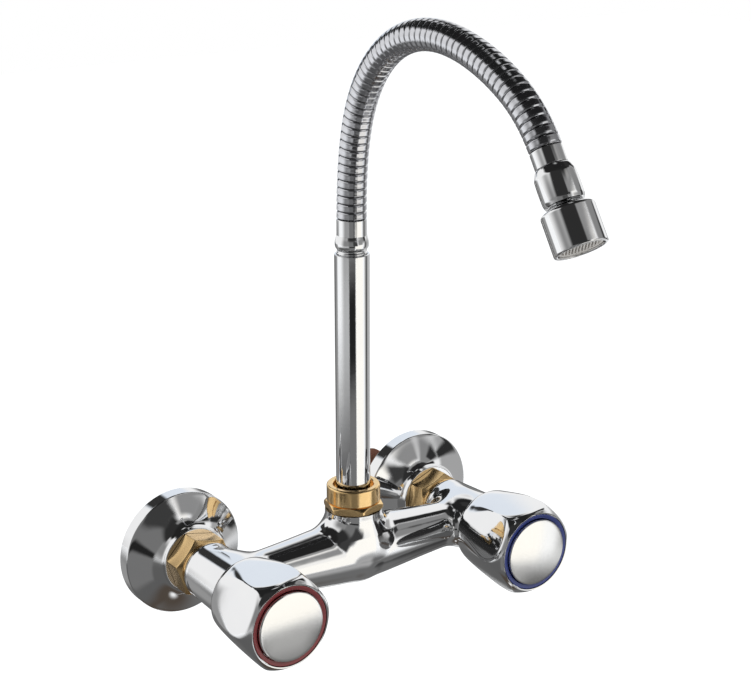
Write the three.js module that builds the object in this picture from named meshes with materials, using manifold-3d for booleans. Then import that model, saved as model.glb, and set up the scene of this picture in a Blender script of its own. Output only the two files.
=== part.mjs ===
// Wall-mounted two handle kitchen faucet with a flexible ribbed spout.
// Millimetres. X runs to the user's right, Y into the wall, Z up. The origin is
// on the wall plane, half way between the two inlets, at their height.
import * as THREE from 'three';
import { mergeVertices } from 'three/addons/utils/BufferGeometryUtils.js';
import Module from 'manifold-3d';

const wasm = await Module();
wasm.setup();

// ---- driving dimensions ----

// layout
const inletSpacing = 150; // between the two inlet axes
const wallToSpout = 54.2; // wall plane to the spout's axis
const gap = 0.3; // between pieces that touch

// wall flange
const flangeRadius = 32.9;
const flangeRim = 7.2; // depth of its straight rim
const flangeDepth = 19.5;
const flangeNeckRadius = 17.5;
const flangeWall = 1.2;

// offset connector between the wall fitting and the union nut
const wallThreadRadius = 10.4; // G 1/2
const wallThreadReach = 18; // how far it enters the wall
const wallThreadShift = 19.8; // its axis to the inlet axis
const wallThreadTurn = 148; // degrees from +X to that shift, right-hand side
const unionThreadRadius = 13.2; // G 3/4
const unionThreadReach = 4.5; // past the wall flange
const connectorBore = 7;

// union nut
const unionNutAcrossFlats = 29;
const unionNutLength = 11.5;
const unionNutLip = 2.6;
const unionWasherThickness = 1.8;
const unionCollarThickness = 2;
const tailRadius = 11.8; // body tail inside the nut's lip

// body
const barrelShoulder = 2.6; // nut to the full barrel
const barrelRearRadius = 14.9;
const barrelFrontRadius = 16.3;
const barrelPastSpout = 17.8; // spout axis to the barrel's front end
const barrelThreadRadius = 10.7;
const barrelChamberRadius = 11;
const armEndRadius = 12.2;
const armRootRadius = 16;
const armBore = 6;
const bellyRadius = 17;
const neckTopRadius = 14.8;
const neckTop = 23.5;
const spoutSeat = 5.8; // height of the ledge under the riser
const spoutBore = 9.35;
const spoutThreadBore = 12;

// headwork (half turn, ceramic discs)
const seatFromBarrelEnd = 27.8;
const discRadius = 9.2;
const discThickness = 2.7;
const cageWall = 0.8;
const seatSealThickness = 1.8;
const bonnetThreadRadius = 10.4;
const bonnetThreadLength = 14;
const bonnetFlangeRadius = 13;
const bonnetFlangeThickness = 1.6;
const bonnetGasketThickness = 0.8;
const bonnetHexAcrossFlats = 17;
const bonnetHexHeight = 5;
const bonnetNeckRadius = 6;
const bonnetNeckHeight = 2.4;
const spindleRadius = 3.6;
const spindlePlateThickness = 2;
const splineRootRadius = 3.6;
const splineTipRadius = 4;
const splineTeeth = 14;
const splineLength = 10.5;
const screwShankRadius = 1.8;
const screwHeadRadius = 4.2;
const screwHeadThickness = 2.6;
const screwGrip = 8; // depth of its shank in the spindle

// handle
const handleLap = 2; // over the barrel's end
const handleLength = 42;
const handleRearRadius = 19.2;
const handleWidestRadius = 26.2;
const handleFaceRadius = 21.3;
const facetCount = 6;
const facetRearDistance = 21.2; // facet plane to the axis at the rear edge
const facetFrontDistance = 23;
const handleTurn = 6; // degrees, as the handles stand when they are shut
const handleWeb = 3.4; // metal between the spline and the front recess
const indexRingInner = 18;
const indexRingOuter = 20.4;
const indexRingThickness = 3.6;
const indexRingSetback = 0.2;
const capStand = 1.1; // its edge past the handle's face
const capDome = 1.5;
const capSkirtWall = 1.6;

// spout nut and riser
const spoutNutFlangeHeight = 3.8;
const spoutNutAcrossCorners = 31.8;
const spoutNutCollarRadius = 13.8;
const spoutNutCollarHeight = 9.4;
const spoutNutRecessRadius = 10.5;
const spoutNutRecessDepth = 4;
const riserRadius = 8.8;
const riserBore = 7.8;
const riserTailBore = 6.2;
const riserTop = 159;
const slipRingHeight = 2.2;
const slipRingRadius = 11.2;
const ringGrooveRadius = 7.4;
const sealThickness = 1.5;
const sealSpacing = 3.3;

// flexible spout
const ferruleSpigot = 9; // inside the riser
const ferruleHeight = 18; // above the riser
const ferruleRadius = 7.55;
const ferruleBulgeRadius = 8.5;
const ribCrestRadius = 7.5;
const ribGrooveRadius = 6.95;
const sleeveBore = 6.05;
const neckRadius = 5.6;
const neckBore = 4.3;
const neckReach = 3.2; // past the pivot
const boreShare = 0.6; // of a stretch, up to the next neck's root
const waterHoseRadius = 3.6;
const waterHoseBore = 2.4;
const stretchLength = 16;
const ribsPerStretch = 4;
// how far each stretch is bent at rest, from the riser to the head, in degrees
const restBends = [3.4, 4.8, 7.9, 11.2, 13.7, 15.3, 15.3, 13.9, 11.6, 9.1, 7.3, 7.8, 12.7, 13.1];

// swivelling head
const hoseCollarRadius = 7.35;
const hoseCollarLength = 8;
const housingRadius = 9.3;
const housingMouthRadius = 8.8;
const housingLength = 16.2;
const housingShoulder = 4;
const collarSpigotRadius = 5.6;
const collarSpigotLength = 5.8;
const ballRadius = 6.2;
const ballFromHousing = 11.3; // ball centre to the housing's lower edge
const stemRadius = 3.6;
const headBore = 2.2;
const nozzleRadius = 12;
const nozzleBelowBall = 9.7;
const nozzleDomeRadius = 13.2;
const nozzleShoulder = 8.6; // above the ball centre
const ballSeatThickness = 0.8;
const nozzleTilt = 10; // degrees each way
const mouthRadius = 10.2;
const insertThickness = 3.4;
const insertSlots = 12;
const insertSlotPitch = 1.42;
const insertSlotWidth = 0.8;
const insertTurn = 30; // degrees, as it stands in the mouth

// facets of round pieces
const largeSteps = 20;
const middleSteps = 16;
const smallSteps = 10;
const handleSteps = 24;
const ribSteps = 8;

// ---- materials ----

const chrome = { color: 0xc9ccd2, roughness: 0.08, metalness: 1 };
const brass = { color: 0xc4904a, roughness: 0.28, metalness: 1 };
const darkBrass = { color: 0x6f4038, roughness: 0.5, metalness: 0.8 };
const steel = { color: 0xa8abb0, roughness: 0.3, metalness: 1 };
const rubber = { color: 0x1d1d1f, roughness: 0.75, metalness: 0 };
const ceramic = { color: 0xe8e4da, roughness: 0.35, metalness: 0 };
const whitePlastic = { color: 0xdedcd2, roughness: 0.45, metalness: 0 };
const redPlastic = { color: 0x7c3034, roughness: 0.35, metalness: 0 };
const bluePlastic = { color: 0x2c3a72, roughness: 0.35, metalness: 0 };
const satinChrome = { color: 0xcfcfcc, roughness: 0.22, metalness: 1 };

// ---- geometry helpers ----

const radians = THREE.MathUtils.degToRad;

function signedVolume(geometry) {
  const at = geometry.attributes.position;
  const order = geometry.index.array;
  const [a, b, c] = [new THREE.Vector3(), new THREE.Vector3(), new THREE.Vector3()];
  let sum = 0;
  for (let i = 0; i < order.length; i += 3) {
    a.fromBufferAttribute(at, order[i]);
    b.fromBufferAttribute(at, order[i + 1]);
    c.fromBufferAttribute(at, order[i + 2]);
    sum += a.dot(b.cross(c)) / 6;
  }
  return sum;
}

// Merges shared points, drops empty triangles and turns the faces outwards.
function closed(source) {
  const bare = source.clone();
  bare.deleteAttribute('normal');
  bare.deleteAttribute('uv');
  const geometry = mergeVertices(bare, 1e-4);
  const order = geometry.index.array;
  const kept = [];
  for (let i = 0; i < order.length; i += 3) {
    const [a, b, c] = [order[i], order[i + 1], order[i + 2]];
    if (a !== b && b !== c && c !== a) kept.push(a, b, c);
  }
  geometry.setIndex(kept);
  if (signedVolume(geometry) < 0) geometry.setIndex(kept.reverse());
  return geometry;
}

function toSolid(geometry) {
  const clean = closed(geometry);
  return new wasm.Manifold(new wasm.Mesh({
    numProp: 3,
    vertProperties: Float32Array.from(clean.attributes.position.array),
    triVerts: Uint32Array.from(clean.index.array),
  }));
}

function toGeometry(solid) {
  const { vertProperties, triVerts } = solid.getMesh();
  const geometry = new THREE.BufferGeometry();
  geometry.setAttribute('position', new THREE.BufferAttribute(vertProperties, 3));
  geometry.setIndex(new THREE.BufferAttribute(triVerts, 1));
  return geometry;
}

const fuse = (first, ...rest) =>
  toGeometry(rest.reduce((sum, next) => sum.add(toSolid(next)), toSolid(first)));
const cut = (first, ...tools) =>
  toGeometry(tools.reduce((rest, tool) => rest.subtract(toSolid(tool)), toSolid(first)));
const common = (first, second) => toGeometry(toSolid(first).intersect(toSolid(second)));

// Turns an outline of [radius, height] points about the Y axis. An outline that
// doesn't start and end on the axis is closed on itself.
function revolve(outline, steps) {
  const points = outline.map(([radius, height]) => new THREE.Vector2(radius, height));
  const solid = outline[0][0] === 0 && outline.at(-1)[0] === 0;
  if (!solid) points.push(points[0].clone());
  return closed(new THREE.LatheGeometry(points, steps));
}

const tube = (outer, inner, low, high, steps) =>
  revolve([[inner, low], [outer, low], [outer, high], [inner, high]], steps);
const rod = (radius, low, high, steps) =>
  revolve([[0, low], [radius, low], [radius, high], [0, high]], steps);

// Points of an arc about [0, centre], from one angle off the +Y axis to another.
function arc(radius, centre, from, to, steps) {
  return Array.from({ length: steps + 1 }, (_, i) => {
    const angle = radians(from + ((to - from) * i) / steps);
    return [radius * Math.sin(angle), centre + radius * Math.cos(angle)];
  });
}

// A prism along Y with a flat side towards +Z; it can taper.
function prism(sides, lowFlat, highFlat, low, high, turn = 0) {
  const corner = 1 / Math.cos(Math.PI / sides);
  const height = high - low;
  const geometry = new THREE.CylinderGeometry(highFlat * corner, lowFlat * corner, height, sides);
  return geometry.rotateY(Math.PI / sides + radians(turn)).translate(0, low + height / 2, 0);
}

// Joins rings of points, given as [centre, direction, radius], into a closed skin.
function loft(rings, steps, loops) {
  const points = [];
  for (const { y, z, tilt, radius } of rings) {
    for (let i = 0; i < steps; i += 1) {
      const angle = (2 * Math.PI * i) / steps;
      const across = radius * Math.sin(angle);
      points.push(radius * Math.cos(angle), y - across * Math.sin(tilt), z + across * Math.cos(tilt));
    }
  }
  const order = [];
  const last = loops ? rings.length : rings.length - 1;
  for (let r = 0; r < last; r += 1) {
    const next = (r + 1) % rings.length;
    for (let i = 0; i < steps; i += 1) {
      const j = (i + 1) % steps;
      const [a, b] = [r * steps + i, r * steps + j];
      const [c, d] = [next * steps + i, next * steps + j];
      order.push(a, b, c, b, d, c);
    }
  }
  const geometry = new THREE.BufferGeometry();
  geometry.setAttribute('position', new THREE.Float32BufferAttribute(points, 3));
  geometry.setIndex(order);
  return closed(geometry);
}

function addMesh(group, name, geometry, look) {
  const mesh = new THREE.Mesh(geometry, new THREE.MeshStandardMaterial(look));
  mesh.name = name;
  group.add(mesh);
  return mesh;
}

// ---- positions along each inlet axis, measured from the wall ----

const unionFace = flangeDepth + unionThreadReach;
const unionNutRear = flangeDepth + gap;
const unionNutFront = unionNutRear + unionNutLength;
const unionWasherRear = unionFace + gap;
const unionCollarRear = unionWasherRear + unionWasherThickness + gap;
const unionCollarFront = unionCollarRear + unionCollarThickness;
const unionNutLipRear = unionNutFront - unionNutLip;
const barrelRear = unionNutFront + barrelShoulder;
const barrelEnd = wallToSpout + barrelPastSpout;
const seat = barrelEnd - seatFromBarrelEnd;
const fixedDiscRear = seat + gap + seatSealThickness + gap;
const movingDiscRear = fixedDiscRear + discThickness + gap;
const spindlePlateRear = movingDiscRear + discThickness + gap;
const spindlePlateFront = spindlePlateRear + spindlePlateThickness;
const bonnetThreadRear = barrelEnd - bonnetThreadLength;
const bonnetFlangeRear = barrelEnd + gap + bonnetGasketThickness + gap;
const bonnetHexRear = bonnetFlangeRear + bonnetFlangeThickness;
const bonnetNeckRear = bonnetHexRear + bonnetHexHeight;
const bonnetTop = bonnetNeckRear + bonnetNeckHeight;
const splineRear = bonnetTop + gap;
const spindleEnd = splineRear + splineLength;
const handleRear = barrelEnd - handleLap;
const handleFace = handleRear + handleLength;
const recessFloor = spindleEnd + gap + handleWeb;

// ---- inlet pieces, in a frame with Y from the wall to the user ----

function wallFlange() {
  // the bell sweeps in from the rim to the neck
  const bell = (inset, count) => Array.from({ length: count }, (_, i) => {
    const run = i / (count - 1);
    const low = flangeRim + 0.8;
    const radius = flangeNeckRadius + (flangeRadius - 1 - flangeNeckRadius) * (1 - run) ** 1.7;
    return [radius - inset, low + (flangeDepth - 1.6 - low) * run - inset * (1 - run)];
  });
  const throat = unionThreadRadius + gap;
  return revolve([
    [flangeRadius - flangeWall, 0],
    [flangeRadius, 0],
    [flangeRadius, flangeRim],
    [flangeRadius - 0.4, flangeRim + 0.6],
    ...bell(0, 5),
    [flangeNeckRadius - 0.3, flangeDepth],
    [throat, flangeDepth],
    [throat, flangeDepth - flangeWall],
    ...bell(flangeWall, 3).reverse(),
    [flangeRadius - flangeWall, flangeRim - 0.4],
  ], largeSteps);
}

// side is 1 on the right and -1 on the left, which mirrors the offset
function offsetConnector(side) {
  const turn = radians(wallThreadTurn);
  const shift = [wallThreadShift * Math.cos(turn) * side, wallThreadShift * Math.sin(turn)];
  const bodyRear = -4;
  const bodyFront = flangeDepth - 6.5;
  // the slanting middle is lofted between the two axes; Z points down here
  const slant = (rearRadius, frontRadius, rear, front) => {
    const geometry = new THREE.CylinderGeometry(frontRadius, rearRadius, front - rear, middleSteps);
    geometry.translate(0, (front + rear) / 2, 0);
    const at = geometry.attributes.position;
    for (let i = 0; i < at.count; i += 1) {
      const share = (front - at.getY(i)) / (front - rear);
      at.setX(i, at.getX(i) + shift[0] * share);
      at.setZ(i, at.getZ(i) - shift[1] * share);
    }
    return geometry;
  };
  const wallThread = rod(wallThreadRadius, -wallThreadReach, bodyRear + 1, middleSteps)
    .translate(shift[0], 0, -shift[1]);
  const wallBore = rod(connectorBore, -wallThreadReach - 1, bodyRear + 1, smallSteps)
    .translate(shift[0], 0, -shift[1]);
  const middle = slant(wallThreadRadius, unionThreadRadius - 1, bodyRear, bodyFront);
  const middleBore = slant(connectorBore, connectorBore, bodyRear, bodyFront);
  const unionThread = rod(unionThreadRadius, bodyFront - 1.5, unionFace, largeSteps);
  const unionBore = rod(connectorBore, bodyFront - 1, unionFace + 1, smallSteps);
  return cut(fuse(wallThread, middle, unionThread), wallBore, middleBore, unionBore);
}

function unionNut() {
  const flat = unionNutAcrossFlats / 2;
  const hex = prism(6, flat, flat, unionNutRear, unionNutFront);
  const corner = flat / Math.cos(Math.PI / 6);
  const bevel = revolve([
    [0, unionNutRear - 1],
    [corner - 0.5, unionNutRear - 1],
    [corner - 0.5, unionNutRear],
    [corner + 0.5, unionNutRear + 0.7],
    [corner + 0.5, unionNutFront - 1.9],
    [flat - 0.8, unionNutFront],
    [flat - 0.8, unionNutFront + 1],
    [0, unionNutFront + 1],
  ], largeSteps);
  const bore = revolve([
    [0, unionNutRear - 1],
    [unionThreadRadius + gap, unionNutRear - 1],
    [unionThreadRadius + gap, unionNutLipRear],
    [tailRadius + gap, unionNutLipRear],
    [tailRadius + gap, unionNutFront + 1],
    [0, unionNutFront + 1],
  ], largeSteps);
  return cut(common(hex, bevel), bore);
}

const unionWasher = () => tube(
  unionThreadRadius - 0.4, connectorBore + 1.2,
  unionWasherRear, unionWasherRear + unionWasherThickness, middleSteps,
);

// ---- headwork ----

// a half-moon port, for both discs
function discPort(low, high, turn) {
  const outline = new THREE.Shape();
  const [inner, outer, spread] = [2, discRadius - 1.8, radians(65)];
  outline.absarc(0, 0, outer, -spread, spread, false);
  outline.absarc(0, 0, inner, spread, -spread, true);
  return new THREE.ExtrudeGeometry(outline, { depth: high - low, bevelEnabled: false, curveSegments: 8 })
    .rotateX(-Math.PI / 2)
    .rotateY(radians(turn))
    .translate(0, low, 0);
}

function fixedDisc() {
  const disc = rod(discRadius, fixedDiscRear, fixedDiscRear + discThickness, middleSteps);
  return cut(disc, discPort(fixedDiscRear - 1, fixedDiscRear + discThickness + 1, 0));
}

const tangWidth = 2.4;
const tangDepth = 1.2;
const tangReach = 1.4; // into the moving disc

function movingDisc() {
  const front = movingDiscRear + discThickness;
  const disc = rod(discRadius, movingDiscRear, front, middleSteps);
  const slot = new THREE.BoxGeometry(2 * discRadius + 2, 2 * tangReach, tangWidth + 2 * gap)
    .translate(0, front, 0);
  const core = rod(discRadius - tangDepth - 2 * gap, front - 2 * tangReach, front + 1, smallSteps);
  return cut(disc, discPort(movingDiscRear - 1, front + 1, 180), cut(slot, core));
}

const seatSeal = () => tube(
  discRadius + cageWall, discRadius - 3, seat + gap, seat + gap + seatSealThickness, middleSteps,
);

function bonnet() {
  const cageRadius = discRadius + gap + cageWall;
  const hexFlat = bonnetHexAcrossFlats / 2;
  const shell = revolve([
    [0, fixedDiscRear],
    [cageRadius, fixedDiscRear],
    [cageRadius, bonnetThreadRear - 0.5],
    [bonnetThreadRadius, bonnetThreadRear],
    [bonnetThreadRadius, bonnetFlangeRear],
    [bonnetFlangeRadius, bonnetFlangeRear],
    [bonnetFlangeRadius, bonnetHexRear],
    [bonnetNeckRadius, bonnetHexRear],
    [bonnetNeckRadius, bonnetTop],
    [0, bonnetTop],
  ], middleSteps);
  const hex = prism(6, hexFlat, hexFlat, bonnetHexRear - 0.2, bonnetNeckRear);
  const hollow = revolve([
    [0, fixedDiscRear - 1],
    [discRadius + gap, fixedDiscRear - 1],
    [discRadius + gap, spindlePlateFront + gap],
    [spindleRadius + gap, spindlePlateFront + gap],
    [spindleRadius + gap, bonnetTop + 1],
    [0, bonnetTop + 1],
  ], middleSteps);
  const windowLow = fixedDiscRear + discThickness + gap;
  const windows = new THREE.BoxGeometry(3 * cageRadius, bonnetThreadRear - windowLow - 0.8, 9)
    .translate(0, (windowLow + bonnetThreadRear - 0.8) / 2, 0);
  return cut(fuse(shell, hex), hollow, windows);
}

const bonnetGasket = () => tube(
  bonnetFlangeRadius - 0.4, bonnetThreadRadius + gap,
  barrelEnd + gap, barrelEnd + gap + bonnetGasketThickness, middleSteps,
);

function splineShape(extra) {
  const points = [];
  for (let i = 0; i < 2 * splineTeeth; i += 1) {
    const angle = (Math.PI * (i + 0.5)) / splineTeeth;
    const radius = (i % 2 ? splineTipRadius : splineRootRadius) + extra;
    points.push(new THREE.Vector2(radius * Math.cos(angle), radius * Math.sin(angle)));
  }
  return new THREE.Shape(points);
}

const splineBar = (extra, low, high) =>
  new THREE.ExtrudeGeometry(splineShape(extra), { depth: high - low, bevelEnabled: false })
    .rotateX(-Math.PI / 2)
    .translate(0, low, 0);

function spindle() {
  const plateRadius = discRadius - gap;
  const shaft = revolve([
    [0, spindlePlateRear],
    [plateRadius, spindlePlateRear],
    [plateRadius, spindlePlateFront],
    [spindleRadius, spindlePlateFront],
    [spindleRadius, splineRear + 0.5],
    [0, splineRear + 0.5],
  ], smallSteps);
  const tang = (side) => new THREE.BoxGeometry(tangDepth, tangReach + 1, tangWidth).translate(
    side * (plateRadius - tangDepth / 2 - 0.3),
    spindlePlateRear + (1 - tangReach) / 2 + gap / 2,
    0,
  );
  const screwHole = rod(screwShankRadius + gap, spindleEnd - screwGrip - 1, spindleEnd + 1, smallSteps);
  return cut(fuse(shaft, tang(1), tang(-1), splineBar(0, splineRear, spindleEnd)), screwHole);
}

// ---- handle ----

function knob() {
  const [rear, face] = [handleRear, handleFace];
  const length = face - rear;
  const spread = handleWidestRadius - handleRearRadius;
  const skin = revolve([
    [0, rear],
    [handleRearRadius, rear],
    [handleRearRadius + 0.2 * spread, rear + 0.05 * length],
    [handleRearRadius + 0.42 * spread, rear + 0.2 * length],
    [handleRearRadius + 0.73 * spread, rear + 0.44 * length],
    [handleRearRadius + 0.93 * spread, rear + 0.6 * length],
    [handleWidestRadius, rear + 0.69 * length],
    [handleWidestRadius - 0.08 * spread, rear + 0.79 * length],
    [handleWidestRadius - 0.24 * spread, rear + 0.88 * length],
    [handleWidestRadius - 0.45 * spread, rear + 0.95 * length],
    [handleFaceRadius, face],
    [0, face],
  ], handleSteps);
  const facets = prism(
    facetCount, facetRearDistance, facetFrontDistance, rear, face, handleTurn,
  );
  const barrelRoom = barrelFrontRadius + 0.7;
  const bonnetRoom = bonnetFlangeRadius + 1;
  const rearHollow = revolve([
    [0, rear - 1],
    [barrelRoom, rear - 1],
    [barrelRoom, bonnetHexRear + 1],
    [bonnetRoom, bonnetHexRear + 2],
    [bonnetRoom, splineRear],
    [0, splineRear],
  ], middleSteps);
  const splineSocket = splineBar(gap, splineRear - 1, spindleEnd + gap);
  const screwHole = rod(screwShankRadius + gap, spindleEnd, recessFloor + 1, smallSteps);
  const ringSeat = face - indexRingSetback - indexRingThickness - gap;
  const frontRecess = revolve([
    [0, recessFloor],
    [indexRingInner, recessFloor],
    [indexRingInner, ringSeat],
    [indexRingOuter + gap, ringSeat],
    [indexRingOuter + gap, face + 1],
    [0, face + 1],
  ], largeSteps);
  return cut(common(skin, facets), rearHollow, splineSocket, screwHole, frontRecess);
}

function indexRing() {
  const front = handleFace - indexRingSetback;
  return revolve([
    [indexRingInner, front - indexRingThickness],
    [indexRingOuter, front - indexRingThickness],
    [indexRingOuter, front],
    [indexRingInner, front - 0.6],
  ], largeSteps);
}

function handleCap() {
  const outer = indexRingInner - gap;
  const edge = handleFace + capStand;
  const chord = outer - 0.4;
  const sphere = (chord * chord + capDome * capDome) / (2 * capDome);
  const spread = THREE.MathUtils.radToDeg(Math.asin(chord / sphere));
  const roof = edge - capSkirtWall;
  return revolve([
    ...arc(sphere, edge + capDome - sphere, 0, spread, 3),
    [outer, edge - 0.4],
    [outer, recessFloor + gap],
    [outer - capSkirtWall, recessFloor + gap],
    [outer - capSkirtWall, roof],
    [0, roof],
  ], largeSteps);
}

function handleScrew() {
  const low = recessFloor + gap;
  const head = low + screwHeadThickness;
  const body = revolve([
    [0, spindleEnd - screwGrip],
    [screwShankRadius, spindleEnd - screwGrip],
    [screwShankRadius, low],
    [screwHeadRadius, low],
    [screwHeadRadius, head - 0.9],
    [screwHeadRadius - 1, head],
    [0, head],
  ], smallSteps);
  const crossCut = (turn) => new THREE.BoxGeometry(1, 2.4, 4.6).rotateY(turn).translate(0, head, 0);
  return cut(body, crossCut(0), crossCut(Math.PI / 2));
}

// ---- body ----

const toInlet = (geometry, side) =>
  geometry.rotateX(Math.PI).translate((side * inletSpacing) / 2, 0, 0);
const toSpoutAxis = (geometry) => geometry.rotateX(Math.PI / 2).translate(0, -wallToSpout, 0);
const toArmAxis = (geometry) => geometry.rotateZ(-Math.PI / 2).translate(0, -wallToSpout, 0);

function body() {
  const armEnd = inletSpacing / 2 - 4;
  const swell = armRootRadius - armEndRadius;
  const barrel = (side) => toInlet(revolve([
    [0, unionCollarRear],
    [unionThreadRadius - 0.1, unionCollarRear],
    [unionThreadRadius - 0.1, unionCollarFront],
    [tailRadius, unionCollarFront],
    [tailRadius, barrelRear - 0.6],
    [barrelRearRadius - 1, barrelRear],
    [barrelRearRadius, barrelRear + 1.8],
    [barrelFrontRadius, barrelEnd - 1],
    [barrelFrontRadius - 1, barrelEnd],
    [0, barrelEnd],
  ], largeSteps), side);
  // swollen at the belly and flared where it meets the barrels
  const half = [
    [armRootRadius + 0.8, 0],
    [armRootRadius + 0.1, 12],
    [armEndRadius + 0.72 * swell, 25],
    [armEndRadius + 0.38 * swell, 38],
    [armEndRadius, armEnd - 14],
    [armEndRadius + 0.5, armEnd - 9],
    [armEndRadius + 2.2, armEnd - 4],
  ];
  const arms = toArmAxis(revolve([
    [0, 4 - armEnd],
    ...half.slice(1).map(([radius, along]) => [radius, -along]).reverse(),
    ...half,
    [0, armEnd - 4],
  ], middleSteps));
  const centre = toSpoutAxis(revolve([
    ...arc(bellyRadius, 0, 180, 90, 4),
    [bellyRadius - 0.2, 6],
    [bellyRadius - 0.8, 11],
    [neckTopRadius + 0.6, 16],
    [neckTopRadius, 20],
    [neckTopRadius, neckTop],
    [0, neckTop],
  ], largeSteps));
  const slipRingLedge = spoutSeat + 2 * gap + 2.5 * sealSpacing;
  const spoutHollow = toSpoutAxis(revolve([
    [0, 0],
    [armBore, 0],
    [armBore, spoutSeat],
    [spoutBore, spoutSeat],
    [spoutBore, slipRingLedge],
    [spoutThreadBore, slipRingLedge],
    [spoutThreadBore, neckTop + 1],
    [0, neckTop + 1],
  ], middleSteps));
  const armHollow = toArmAxis(rod(armBore, -inletSpacing / 2, inletSpacing / 2, smallSteps));
  const valveHollow = (side) => toInlet(revolve([
    [0, unionCollarRear - 1],
    [connectorBore, unionCollarRear - 1],
    [connectorBore, seat],
    [barrelChamberRadius, seat],
    [barrelChamberRadius, bonnetThreadRear - 0.4],
    [barrelThreadRadius, bonnetThreadRear],
    [barrelThreadRadius, barrelEnd + 1],
    [0, barrelEnd + 1],
  ], middleSteps), side);
  return cut(
    fuse(barrel(1), barrel(-1), arms, centre),
    spoutHollow, armHollow, valveHollow(1), valveHollow(-1),
  );
}

// ---- riser, in a frame with Y up the spout's axis ----

const riserBottom = spoutSeat + 2 * gap;
const lowerSealHeight = riserBottom + 2.2;
const upperSealHeight = lowerSealHeight + sealSpacing;
const slipRingLow = spoutSeat + 3 * gap + 2.5 * sealSpacing;
const spoutNutSeat = neckTop + gap;
const spoutNutTop = spoutNutSeat + spoutNutFlangeHeight + spoutNutCollarHeight;
const spoutNutThreadLow = slipRingLow + slipRingHeight + gap;

function spoutNut() {
  const corner = spoutNutAcrossCorners / 2;
  const flat = corner * Math.cos(Math.PI / 6);
  const flangeTop = spoutNutSeat + spoutNutFlangeHeight;
  const bevel = 0.9;
  const hex = fuse(
    prism(6, flat, flat, spoutNutSeat, flangeTop - bevel, 15),
    prism(6, flat, flat - bevel, flangeTop - bevel, flangeTop, 15),
  );
  const collar = revolve([
    [0, spoutNutThreadLow],
    [spoutThreadBore - gap, spoutNutThreadLow],
    [spoutThreadBore - gap, spoutNutSeat + 1],
    [spoutNutCollarRadius, spoutNutSeat + 1],
    [spoutNutCollarRadius, spoutNutTop - 0.7],
    [spoutNutCollarRadius - 0.7, spoutNutTop],
    [0, spoutNutTop],
  ], largeSteps);
  const bore = revolve([
    [0, spoutNutThreadLow - 1],
    [riserRadius + gap, spoutNutThreadLow - 1],
    [riserRadius + gap, spoutNutTop - spoutNutRecessDepth],
    [spoutNutRecessRadius, spoutNutTop - spoutNutRecessDepth],
    [spoutNutRecessRadius, spoutNutTop - 0.4],
    [spoutNutRecessRadius + 0.5, spoutNutTop + 0.2],
    [0, spoutNutTop + 0.2],
  ], largeSteps);
  return cut(fuse(hex, collar), bore);
}

function riser() {
  const groove = (height, width) => [
    [riserRadius, height - width / 2],
    [ringGrooveRadius, height - width / 2],
    [ringGrooveRadius, height + width / 2],
    [riserRadius, height + width / 2],
  ];
  const slipRingHalf = slipRingHeight / 2;
  return revolve([
    [riserTailBore, riserBottom],
    [riserRadius - 0.5, riserBottom],
    [riserRadius, riserBottom + 0.6],
    ...groove(lowerSealHeight, sealThickness + 2 * gap),
    ...groove(upperSealHeight, sealThickness + 2 * gap),
    ...groove(slipRingLow + slipRingHalf, slipRingHeight + 2 * gap),
    [riserRadius, riserTop - 0.4],
    [riserRadius - 0.4, riserTop],
    [riserBore, riserTop],
    [riserBore, spoutNutTop],
    [riserTailBore, spoutNutTop - 4],
  ], middleSteps);
}

// a round cord seal
function sealRing(height) {
  const radius = sealThickness / 2;
  const centre = spoutBore - gap - radius;
  const outline = Array.from({ length: 6 }, (_, i) => {
    const angle = (Math.PI * i) / 3;
    return [centre + radius * Math.cos(angle), height + radius * Math.sin(angle)];
  });
  return revolve(outline, middleSteps);
}

const slipRing = () => tube(
  slipRingRadius, ringGrooveRadius + gap, slipRingLow, slipRingLow + slipRingHeight, middleSteps,
);

const ferruleTop = riserTop + ferruleHeight;

function ferrule() {
  const low = riserTop - ferruleSpigot;
  return revolve([
    [neckBore, low],
    [riserBore - gap, low],
    [riserBore - gap, riserTop + gap],
    [ferruleRadius + 0.2, riserTop + gap],
    [ferruleRadius - 0.3, riserTop + 1.8],
    [ferruleBulgeRadius - 0.3, riserTop + 3.4],
    [ferruleBulgeRadius, riserTop + 5.4],
    [ferruleBulgeRadius - 0.3, riserTop + 7.4],
    [ferruleRadius, riserTop + 9.6],
    [ferruleRadius, ferruleTop - gap],
    [neckBore, ferruleTop - gap],
  ], middleSteps);
}

// ---- flexible spout: stretches of ribbed sleeve, one pivot between each two ----

// the place and direction on an arc of the stretch's length, bent by so much
function onArc(along, bend) {
  const angle = (bend * along) / stretchLength;
  if (bend === 0) return { y: along, z: 0, tilt: 0 };
  const radius = stretchLength / bend;
  return { y: radius * Math.sin(angle), z: radius * (1 - Math.cos(angle)), tilt: angle };
}

// each pivot carries half the bend on both sides of it
const pivotBend = (index) => (restBends[index - 1] + restBends[index]) / 2;

// room for the sleeves' edges when a pivot is bent back until it is straight
const pivotGap = (index) => ribCrestRadius * Math.sin(radians(pivotBend(index))) + 1.5 * gap;

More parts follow.
